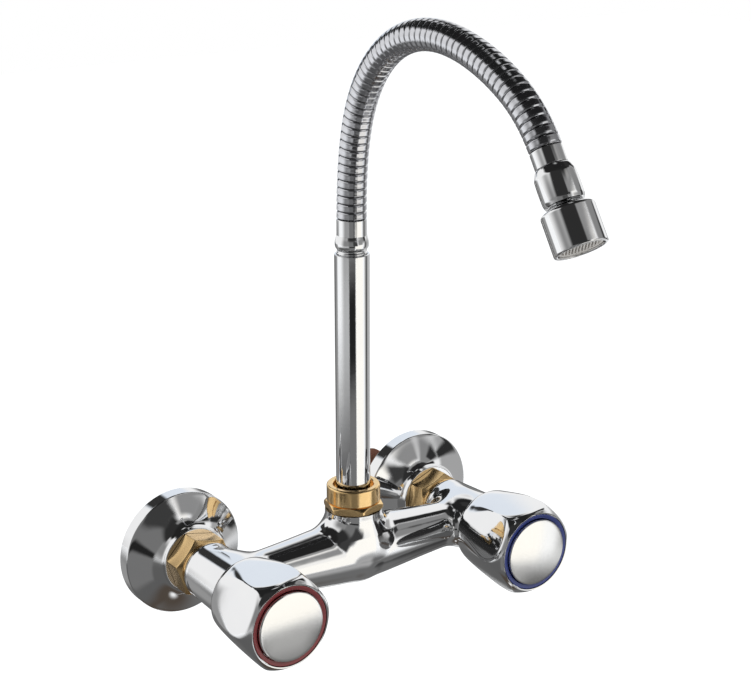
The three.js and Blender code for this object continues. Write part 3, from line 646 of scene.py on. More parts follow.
CHROME = polished_chrome()
CAP = satin_cap()
BRASS = machined_brass()
CAST_BRASS = cast_brass()
SLEEVE = sleeve_steel()
SCREW = screw_steel()
RUBBER = black_rubber()
CERAMIC = lapped_ceramic()
WHITE = moulded_plastic("white_plastic", colour(0.68, 0.66, 0.60), colour(0.78, 0.76, 0.71), 0.34)
INSERT = moulded_plastic("insert_plastic", colour(0.60, 0.57, 0.53), colour(0.72, 0.69, 0.65), 0.32)
HOSE = moulded_plastic("hose_plastic", colour(0.60, 0.60, 0.57), colour(0.72, 0.72, 0.69), 0.40)
RED = moulded_plastic("hot_red", colour(0.12, 0.016, 0.018), colour(0.20, 0.030, 0.032), 0.16)
BLUE = moulded_plastic("cold_blue", colour(0.014, 0.024, 0.11), colour(0.030, 0.045, 0.19), 0.16)

# ---- inlet pieces ----


def bell(inset, count):
    """The wall flange's sweep from its rim to its neck."""
    low, high = FLANGE_RIM + 0.8, FLANGE_DEPTH - 1.6
    points = []
    for run in steady(0, 1, count):
        radius = FLANGE_NECK + (FLANGE_RADIUS - 1 - FLANGE_NECK) * (1 - run) ** FLANGE_SWEEP
        points.append((radius - inset, low + (high - low) * run - inset * (1 - run)))
    return points


def wall_flange(name, side):
    throat = UNION_THREAD + GAP
    outline = rounded([
        (FLANGE_RADIUS - FLANGE_WALL, 0, 0.3), (FLANGE_RADIUS, 0, 0.4),
        (FLANGE_RADIUS, FLANGE_RIM + 0.3, 1.1), *bell(0, 28), (FLANGE_NECK - 0.3, FLANGE_DEPTH, 0.5),
        (throat, FLANGE_DEPTH, 0.3), (throat, FLANGE_DEPTH - FLANGE_WALL, 0.2),
        *reversed(bell(FLANGE_WALL, 20)), (FLANGE_RADIUS - FLANGE_WALL, FLANGE_RIM - 0.4),
    ], 6)
    turned_piece(
        f"{name}_flange_bell", outline, inlet_frame(side),
        CHROME, "chrome", "fixture", f"{name}_wall_flange",
    )


def wall_thread(height):
    """The helical thread's radius by angle, at a height."""
    def radius(angle):
        turn = (height / WALL_THREAD_PITCH - angle / (2 * math.pi)) % 1
        return WALL_THREAD - WALL_THREAD_DEPTH * min(1, 1.25 * abs(2 * turn - 1))

    return radius


def offset_connector(name, side):
    """Wall thread, slanting neck and union thread, with one bore through them."""
    turn = math.radians(WALL_THREAD_TURN)
    shift = (WALL_THREAD_SHIFT * math.cos(turn) * side, -WALL_THREAD_SHIFT * math.sin(turn))
    neck_rear, neck_front = -4, FLANGE_DEPTH - 6.5
    union_face = FLANGE_DEPTH + UNION_THREAD_REACH

    def centre(height):
        share = max(0, min(1, (neck_front - height) / (neck_front - neck_rear)))
        return (shift[0] * share, shift[1] * share)

    def neck(height):
        share = (height - neck_rear) / (neck_front - neck_rear)
        return WALL_THREAD + (UNION_THREAD - 1 - WALL_THREAD) * share

    turns = steady(-WALL_THREAD_REACH + 0.5, neck_rear - 0.4, 72)
    outline = [
        (CONNECTOR_BORE, -WALL_THREAD_REACH), (WALL_THREAD - 1.1, -WALL_THREAD_REACH),
        *((wall_thread(height), height) for height in turns),
        *((neck(height), height) for height in steady(neck_rear, neck_front - 0.1, 12)),
        (UNION_THREAD, neck_front), (UNION_THREAD, union_face - 0.6), (UNION_THREAD - 0.5, union_face),
        *((CONNECTOR_BORE, height) for height in reversed(steady(neck_rear, union_face, 8))),
    ]
    rings = [ring(radius, height, FINE, centre(height)) for radius, height in outline]
    piece(
        f"{name}_eccentric", [shape(rings, True)], inlet_frame(side),
        CAST_BRASS, "dark_brass", "fixture", f"{name}_offset_connector",
    )


def union_nut(name, side):
    """A hexagon turned down to a (height, radius) bevel at both ends."""
    corner = NUT_FLAT / FLAT_SHARE
    side_of_hex = six_flats(NUT_FLAT, NUT_TURN[name])
    rear, front = NUT_REAR + 0.7, NUT_FRONT - 1.9
    bevel = [
        (NUT_REAR, corner - 0.5), (rear, corner + 0.5), (front, corner + 0.5), (NUT_FRONT, NUT_FLAT - 0.8),
    ]
    heights = [
        *steady(NUT_REAR, rear, 8), *steady(rear + 0.3, front - 0.2, 6), *steady(front, NUT_FRONT, 22),
    ]

    def outside(height):
        edge = np.interp(height, *zip(*bevel))
        return lambda angle: soft_least(side_of_hex(angle), edge, 0.3)

    outline = [
        (UNION_THREAD + GAP, NUT_REAR), *((outside(height), height) for height in heights),
        (TAIL_RADIUS + GAP, NUT_FRONT), (TAIL_RADIUS + GAP, NUT_FRONT - NUT_LIP),
        (UNION_THREAD + GAP, NUT_FRONT - NUT_LIP),
    ]
    rings = [ring(radius, height, 2 * FINE) for radius, height in outline]
    piece(
        f"{name}_hex_nut", [shape(rings, True)], inlet_frame(side),
        BRASS, "brass", "fixture", f"{name}_union_nut",
    )


# ---- handle ----


def handle(name, side):
    """A swelling knob cut by six flats, hollow at the rear and recessed for its cap."""
    length = HANDLE_FACE - HANDLE_REAR
    spread = HANDLE_WIDEST - HANDLE_REAR_RADIUS
    swell = [
        (0, -0.02), (0.05, 0.2), (0.2, 0.42), (0.44, 0.73), (0.6, 0.93), (0.69, 1),
        (0.79, 0.92), (0.88, 0.76), (0.95, 0.55), (1, 0.3),
    ]
    steps = 2 * FINE + 32

    def outside(share):
        skin = HANDLE_REAR_RADIUS + spread * eased(swell, share)
        crown = FACET_CROWN * (2 * share - 1) ** 2
        distance = FACET_REAR + (FACET_FRONT - FACET_REAR) * share - crown
        cut = six_flats(distance, HANDLE_TURN, FACET_CROWN)
        return lambda angle: soft_least(skin, cut(angle), FACET_EDGE)

    rings = [
        ring(outside(share), HANDLE_REAR + length * share, steps)
        for share in [*steady(0, 0.06, 8), *steady(0.075, 0.9, 70), *steady(0.91, 1, 14)]
    ]
    ring_seat = HANDLE_FACE - RING_SETBACK - RING_THICKNESS - GAP
    barrel_room, bonnet_room, spline_room, screw_room = BARREL_FRONT_RADIUS + 0.7, 14, 4.3, 2.1
    inside = rounded([
        (RING_OUTER + GAP, HANDLE_FACE, 0.25), (RING_OUTER + GAP, ring_seat),
        (RING_INNER, ring_seat), (RING_INNER, RECESS_FLOOR), (screw_room, RECESS_FLOOR),
        (screw_room, SPINDLE_END + GAP), (spline_room, SPINDLE_END + GAP), (spline_room, SPLINE_REAR),
        (bonnet_room, SPLINE_REAR), (bonnet_room, BONNET_HEX_REAR + 2),
        (barrel_room, BONNET_HEX_REAR + 1), (barrel_room, HANDLE_REAR, 0.3),
    ])
    rings += [ring(radius, height, steps) for radius, height in inside]
    piece(
        f"{name}_knob", [shape(rings, True)], inlet_frame(side),
        CHROME, "chrome", f"{name}_handle_turning", f"{name}_handle",
    )


def index_ring(name, side, finish, slot):
    front = HANDLE_FACE - RING_SETBACK
    outline = rounded([
        (RING_INNER, front - RING_THICKNESS, 0.2), (RING_OUTER, front - RING_THICKNESS, 0.2),
        (RING_OUTER, front, 0.5), (RING_INNER, front - 0.5, 0.4),
    ])
    turned_piece(
        f"{name}_colour_ring", outline, inlet_frame(side),
        finish, slot, f"{name}_handle_turning", f"{name}_index_ring",
    )


def handle_cap(name, side):
    outer = RING_INNER - GAP
    edge = HANDLE_FACE + CAP_STAND
    chord = outer - 0.4
    sphere = (chord ** 2 + CAP_DOME ** 2) / (2 * CAP_DOME)
    dome = arc(sphere, edge + CAP_DOME - sphere, 0, polar(sphere, chord - 0.5), 18)
    outline = rounded([
        (0, dome[0][1]), *dome[1:],
        (outer, edge - 0.25, 0.5), (outer, RECESS_FLOOR + GAP), (outer - CAP_WALL, RECESS_FLOOR + GAP),
        (outer - CAP_WALL, edge - CAP_WALL), (0, edge - CAP_WALL),
    ], 6)
    turned_piece(
        f"{name}_cap", outline, inlet_frame(side),
        CAP, "satin_chrome", f"{name}_handle_turning", f"{name}_handle_cap",
    )


# ---- body ----


ARM_REACH = INLET - 4
CASTING_OVER = 4  # what the bores' facing cuts take off each end
CASTING_GRID = 0.7
CASTING_FAIRING = (30, 4, 2)


def arm_side():
    """The arms' (distance, radius) outline from one barrel to the other."""
    swell = ARM_ROOT_RADIUS - ARM_END_RADIUS
    half = [
        (0, ARM_ROOT_RADIUS + 0.8), (12, ARM_ROOT_RADIUS + 0.1), (25, ARM_END_RADIUS + 0.72 * swell),
        (38, ARM_END_RADIUS + 0.38 * swell), (ARM_REACH - 14, ARM_END_RADIUS), (ARM_REACH, ARM_END_RADIUS),
    ]
    whole = [(-along, radius) for along, radius in reversed(half[1:])] + half
    return curve(whole, 300)


def barrel_side():
    shoulder = [
        (BARREL_REAR - 2.4, TAIL_RADIUS), (BARREL_REAR - 1.2, TAIL_RADIUS + 0.1),
        (BARREL_REAR, BARREL_REAR_RADIUS - 0.9), (BARREL_REAR + 1.6, BARREL_REAR_RADIUS),
        (BARREL_REAR + 4, BARREL_REAR_RADIUS + 0.1),
    ]
    return [
        (TAIL_RADIUS, COLLAR_REAR - CASTING_OVER), *curve(shoulder, 80),
        (BARREL_FRONT_RADIUS, BARREL_END), (BARREL_FRONT_RADIUS, BARREL_END + CASTING_OVER),
    ]


def centre_side():
    neck = [
        (0, BELLY_RADIUS), (6, BELLY_RADIUS - 0.2), (11, BELLY_RADIUS - 0.8), (16, NECK_RADIUS + 0.6),
        (20, NECK_RADIUS), (NECK_TOP, NECK_RADIUS), (NECK_TOP + CASTING_OVER, NECK_RADIUS),
    ]
    return [*arc(BELLY_RADIUS, 0, 180, 90, 40)[:-1], *curve(neck, 120)]


def casting_depth(points):
    """How far points lie outside the casting, with its lumps run together by fillets."""
    x, out, z = points[:, 0], -points[:, 1], points[:, 2]
    past_spout = out - WALL_TO_SPOUT

    def lump(off_axis, along, side):
        radii, places = zip(*side)
        inside_ends = np.maximum(places[0] - along, along - places[-1])
        return np.maximum(off_axis - np.interp(along, places, radii), inside_ends)

    def run_together(first, second, fillet):
        near = np.maximum(fillet - np.abs(first - second), 0) / fillet
        return np.minimum(first, second) - near * near * fillet / 4

    # the fillet grows from the belly's middle up to the neck
    neck_fillet = np.clip(2 + 0.5 * z, BELLY_FILLET, NECK_FILLET)
    arms = lump(np.hypot(past_spout, z), x, arm_side())
    belly = np.sqrt(x ** 2 + past_spout ** 2 + z ** 2) - BELLY_RADIUS
    neck = lump(np.hypot(x, past_spout), z, centre_side())
    depth = run_together(arms, np.where(z < 0, belly, neck), neck_fillet)
    for side in SIDES.values():
        barrel = lump(np.hypot(x - side * INLET, z), out, barrel_side())
        depth = run_together(depth, barrel, BARREL_FILLET)
    return depth


def draw_onto(mesh, depth, rounds):
    """Moves a mesh's points, in metres, onto the skin where a depth in millimetres is nought."""
    places = np.empty(3 * len(mesh.vertices))
    mesh.vertices.foreach_get("co", places)
    points = places.reshape(-1, 3) / MM
    step, flattest = 0.05, 0.25
    for _ in range(rounds):
        level = depth(points)
        slope = np.stack([
            (depth(points + step * axis) - depth(points - step * axis)) / (2 * step) for axis in np.eye(3)
        ], axis=1)
        steepness = np.maximum((slope ** 2).sum(axis=1), flattest)
        points -= (np.clip(level / steepness, -1, 1))[:, None] * slope
    mesh.vertices.foreach_set("co", (points * MM).ravel())
    mesh.update()


def body_casting():
    """Barrels, arms, belly and neck, run together with a casting's fillets, then bored."""

    def lump(side, place):
        outline = [(0, side[0][1]), *(point for point in side if point[0] > 0), (0, side[-1][1])]
        points, faces = turned_shape(outline, ROUND_CASTING)
        return [place @ Vector(point) for point in points], faces

    lumps = [lump(arm_side(), ARM_FRAME), lump(centre_side(), SPOUT_FRAME)]
    lumps += [lump(barrel_side(), inlet_frame(side)) for side in SIDES.values()]
    casting = mesh_object("body_casting", lumps, Matrix())
    skin = casting.modifiers.new("skin", "REMESH")
    skin.mode = "VOXEL"
    skin.voxel_size = CASTING_GRID * MM
    for iterations in CASTING_FAIRING:
        fair = casting.modifiers.new("fair", "SMOOTH")
        fair.factor = 0.5
        fair.iterations = iterations
        settle(casting)
        draw_onto(casting.data, casting_depth, rounds=4)
    bore_out(casting)
    dress(smooth(casting, crease=40), CHROME)
    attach(casting, "fixture")
    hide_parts("faucet_body")


def bore_out(casting):
    """Bores the body and faces its three kinds of ends."""
    ledge = SPOUT_SEAT + 2 * GAP + 2.5 * SEAL_SPACING
    wide, past = 40, 12
    spout = [
        (0, 0), (ARM_BORE, 0), (ARM_BORE, SPOUT_SEAT), (SPOUT_BORE, SPOUT_SEAT), (SPOUT_BORE, ledge),
        (SPOUT_THREAD, ledge), (SPOUT_THREAD, NECK_TOP), (wide, NECK_TOP), (wide, NECK_TOP + past),
        (0, NECK_TOP + past),
    ]
    valve = [
        (0, COLLAR_REAR - past), (wide / 2, COLLAR_REAR - past), (wide / 2, COLLAR_REAR),
        (CONNECTOR_BORE, COLLAR_REAR), (CONNECTOR_BORE, SEAT), (CHAMBER_RADIUS, SEAT),
        (CHAMBER_RADIUS, BONNET_THREAD_REAR - 0.4), (BONNET_THREAD_BORE, BONNET_THREAD_REAR),
        (BONNET_THREAD_BORE, BARREL_END), (wide / 2, BARREL_END), (wide / 2, BARREL_END + past),
        (0, BARREL_END + past),
    ]
    arm = [(0, -INLET), (ARM_BORE, -INLET), (ARM_BORE, INLET), (0, INLET)]
    bores = [(spout, ROUND_CASTING, SPOUT_FRAME), (arm, ROUND_ARM_BORE, ARM_FRAME)]
    bores += [(valve, ROUND_CASTING, inlet_frame(side)) for side in SIDES.values()]
    tools = [mesh_object("bore_tool", [turned_shape(bore, steps)], place) for bore, steps, place in bores]
    for tool in tools:
        cut = casting.modifiers.new("bore", "BOOLEAN")
        cut.operation = "DIFFERENCE"
        cut.solver = "EXACT"
        cut.object = tool
    settle(casting)
    for tool in tools:
        bpy.data.objects.remove(tool)


# ---- riser ----


def spout_nut():
    corner, flat = SPOUT_NUT_CORNER, SPOUT_NUT_CORNER * FLAT_SHARE
    top, mouth = SPOUT_NUT_SEAT + SPOUT_NUT_FLANGE, 10.5
    hexagon = six_flats(flat, SPOUT_NUT_TURN)
    steps = 2 * FINE

    def flange(height):
        low, high = height - SPOUT_NUT_SEAT, top - height
        limit = corner - 0.25 - max(0, 0.9 - low) * 0.9 - max(0, 1.5 - high) * 1.2
        return lambda angle: max(soft_least(hexagon(angle), limit, 0.4), SPOUT_NUT_COLLAR - 0.6)

    rings = [
        ring(flange(height), height, steps)
        for height in [*steady(SPOUT_NUT_SEAT, SPOUT_NUT_SEAT + 1, 8), *steady(top - 1.6, top, 14)]
    ]
    upper = rounded([
        (SPOUT_NUT_COLLAR - 0.6, top + 0.05), (SPOUT_NUT_COLLAR, top + 0.6, 0.3),
        (SPOUT_NUT_COLLAR, SPOUT_NUT_TOP - 0.7, 0.4), (SPOUT_NUT_COLLAR - 0.7, SPOUT_NUT_TOP, 0.3),
        (mouth + 0.5, SPOUT_NUT_TOP, 0.25), (mouth, SPOUT_NUT_TOP - 0.5), (mouth, SPOUT_NUT_TOP - 4),
        (RISER_RADIUS + GAP, SPOUT_NUT_TOP - 4), (RISER_RADIUS + GAP, SPOUT_NUT_THREAD_LOW),
        (SPOUT_THREAD - GAP, SPOUT_NUT_THREAD_LOW), (SPOUT_THREAD - GAP, SPOUT_NUT_SEAT),
    ])
    rings += [ring(radius, height, steps) for radius, height in upper]
    piece("riser_nut", [shape(rings, True)], SPOUT_FRAME, BRASS, "brass", "fixture", "spout_nut")


def riser():
    bottom = SPOUT_SEAT + 2 * GAP
    lower_seal = bottom + 2.2
    upper_seal = lower_seal + SEAL_SPACING
    slip_ring = SLIP_RING_LOW + SLIP_RING_HEIGHT / 2
    seal_room, slip_ring_room, groove_depth = 2.1, 2.8, 1.4

    def groove(height, width):
        bed, low, high = RISER_RADIUS - groove_depth, height - width / 2, height + width / 2
        return [(RISER_RADIUS, low), (bed, low), (bed, high), (RISER_RADIUS, high)]

    outline = rounded([
        (RISER_TAIL_BORE, bottom), (RISER_RADIUS - 0.5, bottom), (RISER_RADIUS, bottom + 0.6),
        *groove(lower_seal, seal_room), *groove(upper_seal, seal_room), *groove(slip_ring, slip_ring_room),
        (RISER_RADIUS, RISER_TOP, 0.45), (RISER_BORE, RISER_TOP, 0.2), (RISER_BORE, SPOUT_NUT_TOP),
        (RISER_TAIL_BORE, SPOUT_NUT_TOP - 4),
    ], 6)
    turned_piece("riser_tube", outline, SPOUT_FRAME, CHROME, "chrome", "spout", "riser_pipe")


def ferrule():
    foot, tail = RISER_TOP + GAP, RISER_TOP - 9
    side = curve([
        (foot + 0.5, FERRULE_RADIUS + 0.2), (foot + 1.5, FERRULE_RADIUS - 0.3),
        (foot + 3.1, FERRULE_BULGE - 0.3), (foot + 5.1, FERRULE_BULGE), (foot + 7.1, FERRULE_BULGE - 0.3),
        (foot + 9.3, FERRULE_RADIUS),
    ], 40)
    outline = rounded([
        (NECK_BORE, tail), (RISER_BORE - GAP, tail, 0.5), (RISER_BORE - GAP, foot),
        (FERRULE_RADIUS + 0.2, foot, 0.15), *side, (FERRULE_RADIUS, FERRULE_TOP - GAP, 0.35),
        (NECK_BORE, FERRULE_TOP - GAP),
    ])
    turned_piece("hose_foot", outline, SPOUT_FRAME, CHROME, "chrome", "spout", "hose_ferrule")


# ---- flexible spout ----


def band_outline():
    """One band of the wound strip: (distance along it, radius) from groove to groove."""
    floor, wall, lip = 0.16, 0.24, 0.34
    return [
        (0, RIB_GROOVE), (floor, RIB_GROOVE), (wall, RIB_GROOVE + 0.25), (lip, RIB_CREST - 0.09),
        (lip + 0.12, RIB_CREST - 0.02), (lip + 0.3, RIB_CREST), (lip + 0.5, RIB_CREST - 0.03),
        (1.4, RIB_CREST - 0.06), (2.6, RIB_CREST - 0.06), (RIB_PITCH - lip - 0.6, RIB_CREST - 0.1),
        (RIB_PITCH - lip - 0.4, RIB_CREST - 0.17), (RIB_PITCH - lip, RIB_CREST - 0.4),
        (RIB_PITCH - wall, RIB_CREST - 0.48), (RIB_PITCH - floor, RIB_GROOVE),
    ]


def hose_ring(along, radius):
    place = hose_frame(along)
    return [tuple(place @ Vector(point)) for point in ring(radius, 0, ROUND_HOSE)]


def hose_run(name, low, high, outside, bore, finish, pivot):
    """A tube along the spout's line that follows one body, or lies across one pivot on no body."""
    rings = [hose_ring(along, radius) for along, radius in outside]
    rings += [hose_ring(along, bore) for along in steady(high, low, BORE_RINGS)]
    run = dress(smooth(mesh_object(name, [shape(rings, True)], Matrix())), finish)
    # marks the groove floors and the bore, where the sleeve gets painted shade
    groove = run.data.attributes.new(GROOVE_SHADE_MARK, "FLOAT", "POINT")
    painted_shade_rings = [radius < RIB_GROOVE + 0.05 for _, radius in outside] + BORE_RINGS * [True]
    for i, mark in enumerate(groove.data):
        mark.value = painted_shade_rings[i // ROUND_HOSE]
    run.modifiers.clear()  # plain smooth shading, without weighted normals
    before, after = stretch_body(pivot), stretch_body(pivot + 1)
    if pivot in (0, len(REST_BENDS)):
        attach(run, after if pivot == 0 else before)
    else:
        start, end = (hose_frame(along).translation * MM for along in (low, high))
        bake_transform(run)
    return run


def stretch_body(number):
    """The body that carries a stretch; the first stretch is part of the spout itself."""
    return "spout" if number <= 1 else f"hose_stretch_{number:02d}"


def flexible_spout():
    """Each run goes from the middle of one stretch to the middle of the next."""
    for pivot in range(len(REST_BENDS) + 1):
        low = max(0, STRETCH * (pivot - 0.5))
        high = min(HOSE_LENGTH, STRETCH * (pivot + 0.5))
        bands = round((high - low) / RIB_PITCH)
        outside = [
            (low + band * RIB_PITCH + along, radius)
            for band in range(bands) for along, radius in band_outline()
        ]
        outside.append((high, RIB_GROOVE))
        sleeve = hose_run(
            f"sleeve_run_{pivot + 1:02d}", low, high, outside, SLEEVE_BORE, SLEEVE, pivot,
        )
        if pivot < len(REST_BENDS):
            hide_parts(f"hose_sleeve_{pivot + 1:02d}")
        start = low if pivot else GAP - HOSE_TAIL
        smooth_side = [(along, HOSE_RADIUS) for along in steady(start, high, BORE_RINGS)]
        hose = hose_run(
            f"water_hose_run_{pivot + 1:02d}", start, high, smooth_side, HOSE_BORE, HOSE,
            pivot,
        )
        if pivot == 0:
            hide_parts("water_hose")


# ---- head ----


def hose_collar():
    outline = rounded([
        (NECK_BORE, GAP), (HOSE_COLLAR_RADIUS, GAP, 0.4), (HOSE_COLLAR_RADIUS, HOSE_COLLAR_LENGTH, 0.3),
        (COLLAR_SPIGOT, HOSE_COLLAR_LENGTH), (COLLAR_SPIGOT, COLLAR_SPIGOT_END),
        (HEAD_BORE, COLLAR_SPIGOT_END), (HEAD_BORE, COLLAR_SPIGOT_END - 2),
        (NECK_BORE, COLLAR_SPIGOT_END - 3),
    ])
    turned_piece("crimp_collar", outline, HEAD_FRAME, CHROME, "chrome", "hose_stretch_14", "hose_collar")


def swivel_housing():
    hollow = NOZZLE_DOME + 1.5 * GAP
    mouth = 180 - math.degrees(math.acos((BALL_CENTRE - HOUSING_BOTTOM) / hollow))
    shoulder = curve([
        (HOUSING_TOP, HOUSING_RADIUS - 1.4), (HOUSING_TOP + 1.6, HOUSING_RADIUS - 0.7),
        (HOUSING_TOP + 4, HOUSING_RADIUS), (HOUSING_BOTTOM - 2, HOUSING_RADIUS),
        (HOUSING_BOTTOM, HOUSING_MOUTH),
    ], 48)
    stem_root, stem_end = (180 - polar(radius, STEM_RADIUS) for radius in (hollow, BALL_RADIUS))
    outline = rounded([
        (COLLAR_SPIGOT + GAP, HOUSING_TOP), (shoulder[0][0] - 0.25, HOUSING_TOP, 0.2), *shoulder[1:],
        *arc(hollow, BALL_CENTRE, mouth, stem_root, 8),
        *arc(BALL_RADIUS, BALL_CENTRE, stem_end, polar(BALL_RADIUS, HEAD_BORE), 30),
        (HEAD_BORE, COLLAR_SPIGOT_END + GAP), (COLLAR_SPIGOT + GAP, COLLAR_SPIGOT_END + GAP),
    ])
    turned_piece("swivel_bell", outline, HEAD_FRAME, CHROME, "chrome", "hose_stretch_14", "swivel_housing")


def nozzle_shell():
    socket = BALL_SEAT_OUTER + GAP
    pocket = BALL_CENTRE + 2
    dome_open = 180 - polar(NOZZLE_DOME, STEM_RADIUS) - NOZZLE_TILT - 3
    dome_edge = 180 - polar(NOZZLE_DOME, HOUSING_MOUTH)
    socket_open = 180 - polar(socket, STEM_RADIUS) - NOZZLE_TILT - 2
    shoulder = BALL_CENTRE - NOZZLE_SHOULDER
    outline = rounded([
        *arc(NOZZLE_DOME, BALL_CENTRE, dome_open, dome_edge, 10),
        (NOZZLE_RADIUS, shoulder + 0.1, 1.3), (NOZZLE_RADIUS, NOZZLE_END, 2.2),
        (MOUTH_RADIUS, NOZZLE_END, 0.5), (MOUTH_RADIUS, pocket), (socket, pocket),
        *arc(socket, BALL_CENTRE, 88, socket_open, 16),
    ], 8)
    turned_piece("spray_shell", outline, HEAD_FRAME, CHROME, "chrome", "nozzle", "nozzle_shell")


def bar(half_width, half_length, low, high, along):
    """A bar across the outlet, with eased upper edges."""
    ease = 0.12
    section = [
        (-half_width, low), (half_width, low), (half_width, high - ease), (half_width - ease, high),
        (ease - half_width, high), (-half_width, high - ease),
    ]
    ends = [[(along + x, y, z) for x, z in section] for y in (-half_length, half_length)]
    points, faces = shape(ends, False)
    count = len(section)
    return points, [*faces, tuple(range(count)), tuple(range(count, 2 * count))]


def jet_insert():
    """Rim and bars of the outlet; its slots run across the nozzle."""
    radius, rim_width = MOUTH_RADIUS - GAP, 1.6
    front = INSERT_LOW + INSERT_THICKNESS
    rim = turned_shape(rounded([
        (radius - 1.5, INSERT_LOW), (radius, INSERT_LOW), (radius, front, 0.3), (radius - 1.1, front, 0.3),
        (radius - rim_width, front - 1.2),
    ]), FINE)
    half_width = (INSERT_PITCH - INSERT_SLOT_WIDTH) / 2
    bars = []
    for i in range(INSERT_SLOTS + 1):
        along = (i - INSERT_SLOTS / 2) * INSERT_PITCH
        if abs(along) < radius - rim_width:
            half_length = math.sqrt((radius - 1.2) ** 2 - along ** 2)
            bars.append(bar(half_width, half_length, INSERT_LOW + 0.1, front, along))
    place = HEAD_FRAME @ Matrix.Rotation(math.radians(-INSERT_TURN), 4, "Z")
    piece("outlet_bars", [rim, *bars], place, INSERT, "white_plastic", "nozzle", "jet_insert")


# ---- pieces kept as the solids are ----


def finish_solids():
    """The inner pieces keep their solids and get their real finishes."""
    finishes = {
        "union_washer": RUBBER, "bonnet": BRASS, "bonnet_gasket": RUBBER, "seat_seal": RUBBER,
        "fixed_disc": CERAMIC, "moving_disc": CERAMIC, "spindle": BRASS, "handle_screw": SCREW,
    }
    kept = {f"{name}_{part}": finish for name in SIDES for part, finish in finishes.items()}
    kept.update({
        "riser_slip_ring": WHITE, "riser_lower_seal": RUBBER, "riser_upper_seal": RUBBER,
        "ball_seat": WHITE, "nozzle_gasket": RUBBER,
    })
    for node, finish in kept.items():
        paint(frame["nodes"][node], finish)


# ---- studio ----

VIEW_TURN = 34.638
VIEW_HEIGHT = 17.64
VIEW_ROLL = -0.125
VIEW_CENTRE = Vector((14.127, -54.17, 107.379)) * MM
VIEW_DISTANCE = 0.908317
VIEW_LENS = 85.76
STUDIO_CENTRE = Vector((0, -100, 100)) * MM
CARD_DISTANCE = 0.8
CARD_STEP = 0.01  # each card hangs in front of the one before
FLANGE_CARD_DISTANCE = 0.5


def from_camera(turn, height):
    """The direction at an angle to the camera's right and above the horizon, in degrees."""
    azimuth, rise = math.radians(VIEW_TURN - turn), math.radians(height)
    return Vector((-math.sin(azimuth) * math.cos(rise), -math.cos(azimuth) * math.cos(rise), math.sin(rise)))


def camera():
    back, right = from_camera(0, VIEW_HEIGHT), from_camera(90, 0)
    level = Matrix((right, back.cross(right), back)).transposed().to_4x4()
    data = bpy.data.cameras.new("camera")
    data.lens = VIEW_LENS
    data.sensor_width = 36
    data.clip_start = 0.05
    made = placed("camera", data)
    place = Matrix.Translation(VIEW_CENTRE + back * VIEW_DISTANCE)
    made.matrix_world = place @ level @ Matrix.Rotation(math.radians(VIEW_ROLL), 4, "Z")
    bpy.context.scene.camera = made


def seen(nodes):
    """1 for rays from the camera, from gloss and through glass."""
    to_camera, to_gloss, through_glass = (
        nodes.node("ShaderNodeLightPath", out=kind)
        for kind in ("Is Camera Ray", "Is Glossy Ray", "Is Transmission Ray")
    )
    return to_camera.or_if(to_gloss).or_if(through_glass)


def world():
    """White where it is seen, and a softer daylight where it only lights."""
    made = bpy.data.worlds.new("studio_world")
    made.use_nodes = True
    nodes = Nodes(made.node_tree, "World Output")
    daylight = {"Color": colour(0.96, 0.98, 1.0), "Strength": 0.75}
    lighting = nodes.node("ShaderNodeBackground", {}, daylight)
    backdrop = nodes.node("ShaderNodeBackground", {}, {"Color": grey(1)})
    nodes.show_between(seen(nodes), lighting, backdrop)
    bpy.context.scene.world = made


def floor():
    """A pale floor well below the faucet, which hangs on a wall."""
    size, drop = 6, -0.75
    points = [(-size, -size, drop), (size, -size, drop), (size, size, drop), (-size, size, drop)]
    mesh = bpy.data.meshes.new("floor")
    mesh.from_pydata(points, [], [(0, 1, 2, 3)])
    pale = Finish("pale_floor", Base_Color=grey(0.85), Roughness=0.9, Emission_Strength=1)
    mesh.materials.append(pale.show(Emission_Color=pale.mix(seen(pale), grey(0), grey(0.45))))
    placed("floor", mesh)


def card(name, turns, heights, tone, soft, distance, centre):
    """A patch with soft edges, hung round a centre, that only reflections show."""
    across, upward = 41, 25
    points = [
        centre + from_camera(turn, height) * distance
        for height in steady(*heights, upward) for turn in steady(*turns, across)
    ]
    places = [(u, v) for v in steady(0, 1, upward) for u in steady(0, 1, across)]
    faces = [
        (first, first + 1, first + across + 1, first + across)
        for row in range(upward - 1) for first in range(row * across, (row + 1) * across - 1)
    ]
    mesh = bpy.data.meshes.new(name)
    mesh.from_pydata(points, [], faces)
    layer = mesh.uv_layers.new(name="card")
    for loop in mesh.loops:
        layer.data[loop.index].uv = places[loop.vertex_index]
    made = placed(name, mesh)
    for rays in ("camera", "diffuse", "shadow", "transmission"):
        setattr(made, f"visible_{rays}", False)
    softness = (soft / (end - start) for start, end in (turns, heights))
    mesh.materials.append(card_paint(name, tone, *softness))


def card_paint(name, tone, soft_across, soft_upward):
    """A glow that fades to clear towards the card's four edges."""
    finish = Finish(name)
    place = finish.node("ShaderNodeTexCoord", out="UV")
    u, v = (finish.node("ShaderNodeSeparateXYZ", {}, {0: place}, out=axis) for axis in "XY")
    shown = finish.band(u, 0, soft_across) * finish.band(1 - u, 0, soft_across)
    shown = shown * finish.band(v, 0, soft_upward) * finish.band(1 - v, 0, soft_upward)
    clear = finish.node("ShaderNodeBsdfTransparent")
    glow = finish.node("ShaderNodeEmission", {}, {"Color": tone})
    finish.show_between(shown, clear, glow)
    return finish.material


